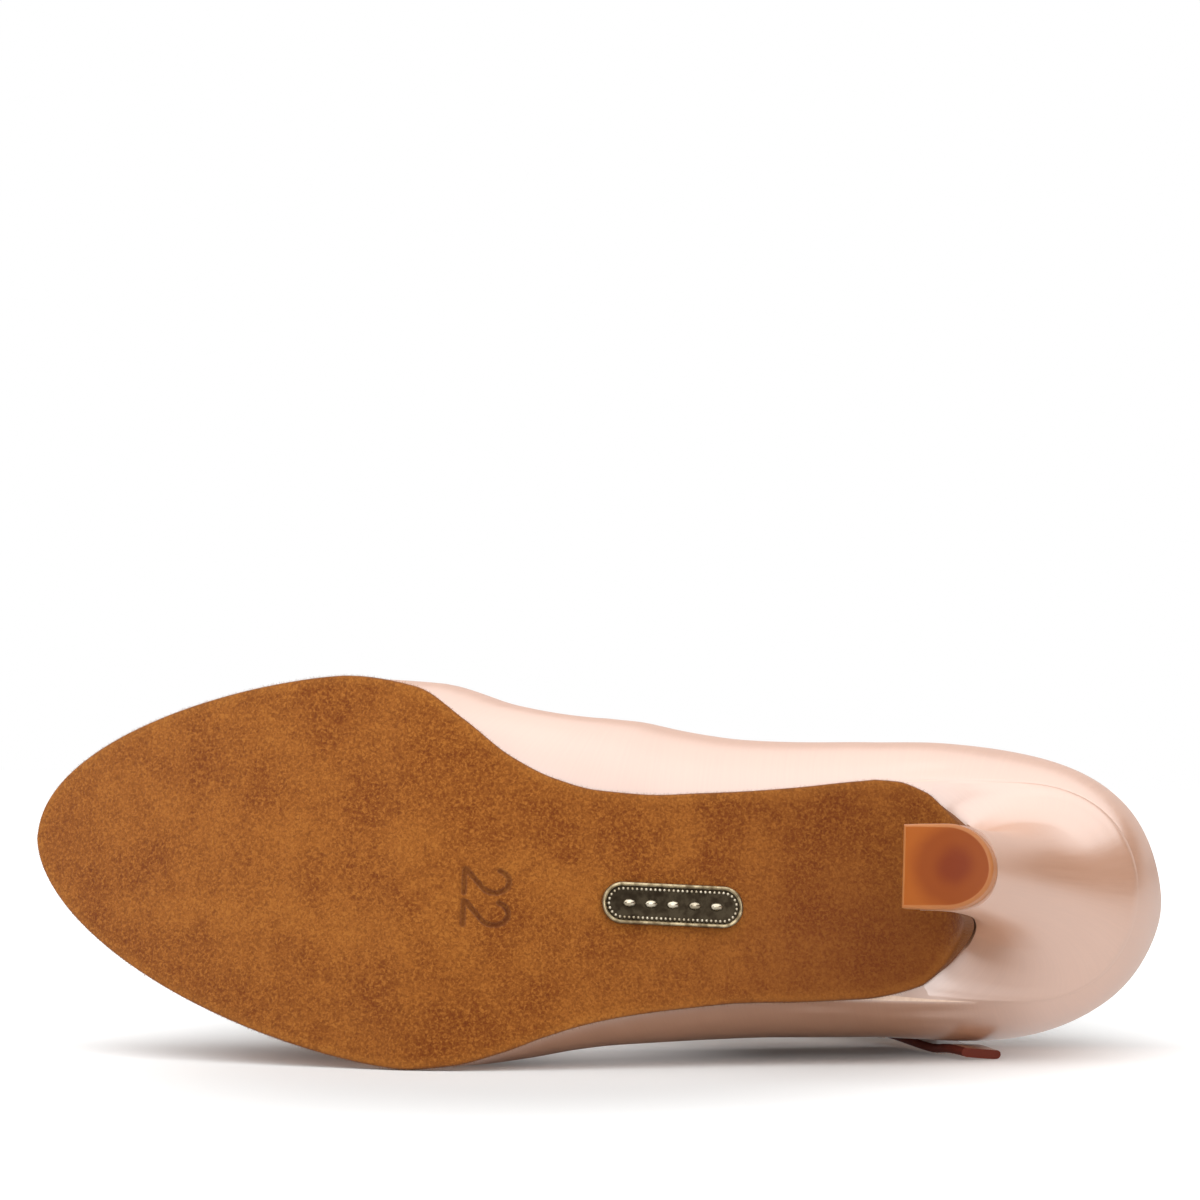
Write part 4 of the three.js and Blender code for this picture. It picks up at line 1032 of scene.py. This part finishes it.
surround_mesh = bpy.data.meshes.new("surround")
turns, levels = np.linspace(0, 2 * math.pi, 24, endpoint=False), np.radians(np.linspace(-88, 88, 16))
dome = [(math.cos(a) * math.cos(t), math.cos(a) * math.sin(t), math.sin(a)) for a in levels for t in turns]
corner_steps = ((0, 0), (1, 0), (1, 1), (0, 1))
panes = [[len(turns) * (i + up) + (j + on) % len(turns) for up, on in corner_steps]
         for i in range(len(levels) - 1) for j in range(len(turns))]
surround_mesh.from_pydata((SURROUND * np.array(dome)).tolist(), [], panes)
surround = bpy.data.objects.new("surround", surround_mesh)
white, start = material("white_surround")
start.node("OutputMaterial", {}, {"Surface": start.node("Emission", {}, {"Strength": 1.0})})
surround.data.materials.append(white)
surround.visible_diffuse = surround.visible_glossy = surround.visible_shadow = False
for piece in (floor, painted_reflection_sheet, surround):
    bpy.context.scene.collection.objects.link(piece)

world = bpy.data.worlds.new("studio")
bpy.context.scene.world = world
world.use_nodes = True
world.node_tree.nodes["Background"].inputs["Color"].default_value = (1, 1, 1, 1)
world.node_tree.nodes["Background"].inputs["Strength"].default_value = 0.13
LIGHTS = [  # name, place, the point it faces, width and depth in metres, power in watts
    ("overhead", (0.0, -0.75, 1.1), (0.0, -0.75, 0), 3.2, 1.7, 33),
    ("above", (0.0, 0.6, 1.1), (0.0, 0.6, 0), 3.2, 1.0, 17),
    ("front", (0.8, -1.9, 0.55), (0, 0, 0.04), 2.4, 1.2, 20),
    ("left", (-1.6, -1.3, 0.6), (0, 0, 0.04), 1.2, 1.0, 4),
    ("backdrop", (-0.2, 2.0, 0.8), (0, 0, 0.04), 3.0, 1.6, 11),
]
flagged = bpy.data.collections.new("lit_from_behind")  # the rear lights are flagged off the floor
for piece in bpy.data.objects:
    if piece.type == "MESH" and piece not in (floor, painted_reflection_sheet, surround):
        flagged.objects.link(piece)
for name, spot, facing, wide, deep, power in LIGHTS:
    lamp = bpy.data.lights.new(name, "AREA")
    lamp.shape, lamp.size, lamp.size_y, lamp.energy = "RECTANGLE", wide, deep, power
    lit = bpy.data.objects.new(name, lamp)
    lit.location = spot
    lit.visible_camera = False
    lit.rotation_mode = "QUATERNION"
    lit.rotation_quaternion = (Vector(facing) - Vector(spot)).to_track_quat("-Z", "Y")
    bpy.context.scene.collection.objects.link(lit)
    if name in ("above", "backdrop"):
        lit.light_linking.receiver_collection = flagged

TURN, RAISE, ROLL = math.radians(19.93), math.radians(3.22), math.radians(-0.3)
DISTANCE, FRAME_WIDE, LENS, SENSOR = 1.0, 0.24, 150, 36
PHOTO, ANCHOR_PIXEL, ANCHOR = 1200, (390, 871), (140.8, -1.5, 0)  # a point of the tread and where it shows
look = Vector((-math.sin(TURN) * math.cos(RAISE), math.cos(TURN) * math.cos(RAISE), -math.sin(RAISE)))
level = Vector((math.cos(TURN), math.sin(TURN), 0))
right = Matrix.Rotation(ROLL, 3, look) @ level
upward = right.cross(look)
eye = Vector(place(ANCHOR)) - look * DISTANCE
shift = [(PHOTO / 2 - p) / PHOTO * FRAME_WIDE for p in ANCHOR_PIXEL]
axis = (look * DISTANCE + right * shift[0] - upward * shift[1]).normalized()
right = (right - axis * right.dot(axis)).normalized()
camera_data = bpy.data.cameras.new("camera")
camera_data.lens, camera_data.sensor_width = LENS, SENSOR
camera_data.clip_start, camera_data.clip_end = 0.05, 50
camera = bpy.data.objects.new("camera", camera_data)
turned = Matrix((right, right.cross(axis), -axis)).transposed()
camera.matrix_world = Matrix.Translation(eye) @ turned.to_4x4()
bpy.context.scene.collection.objects.link(camera)
bpy.context.scene.camera = camera
bpy.context.scene.view_settings.view_transform = "Standard"
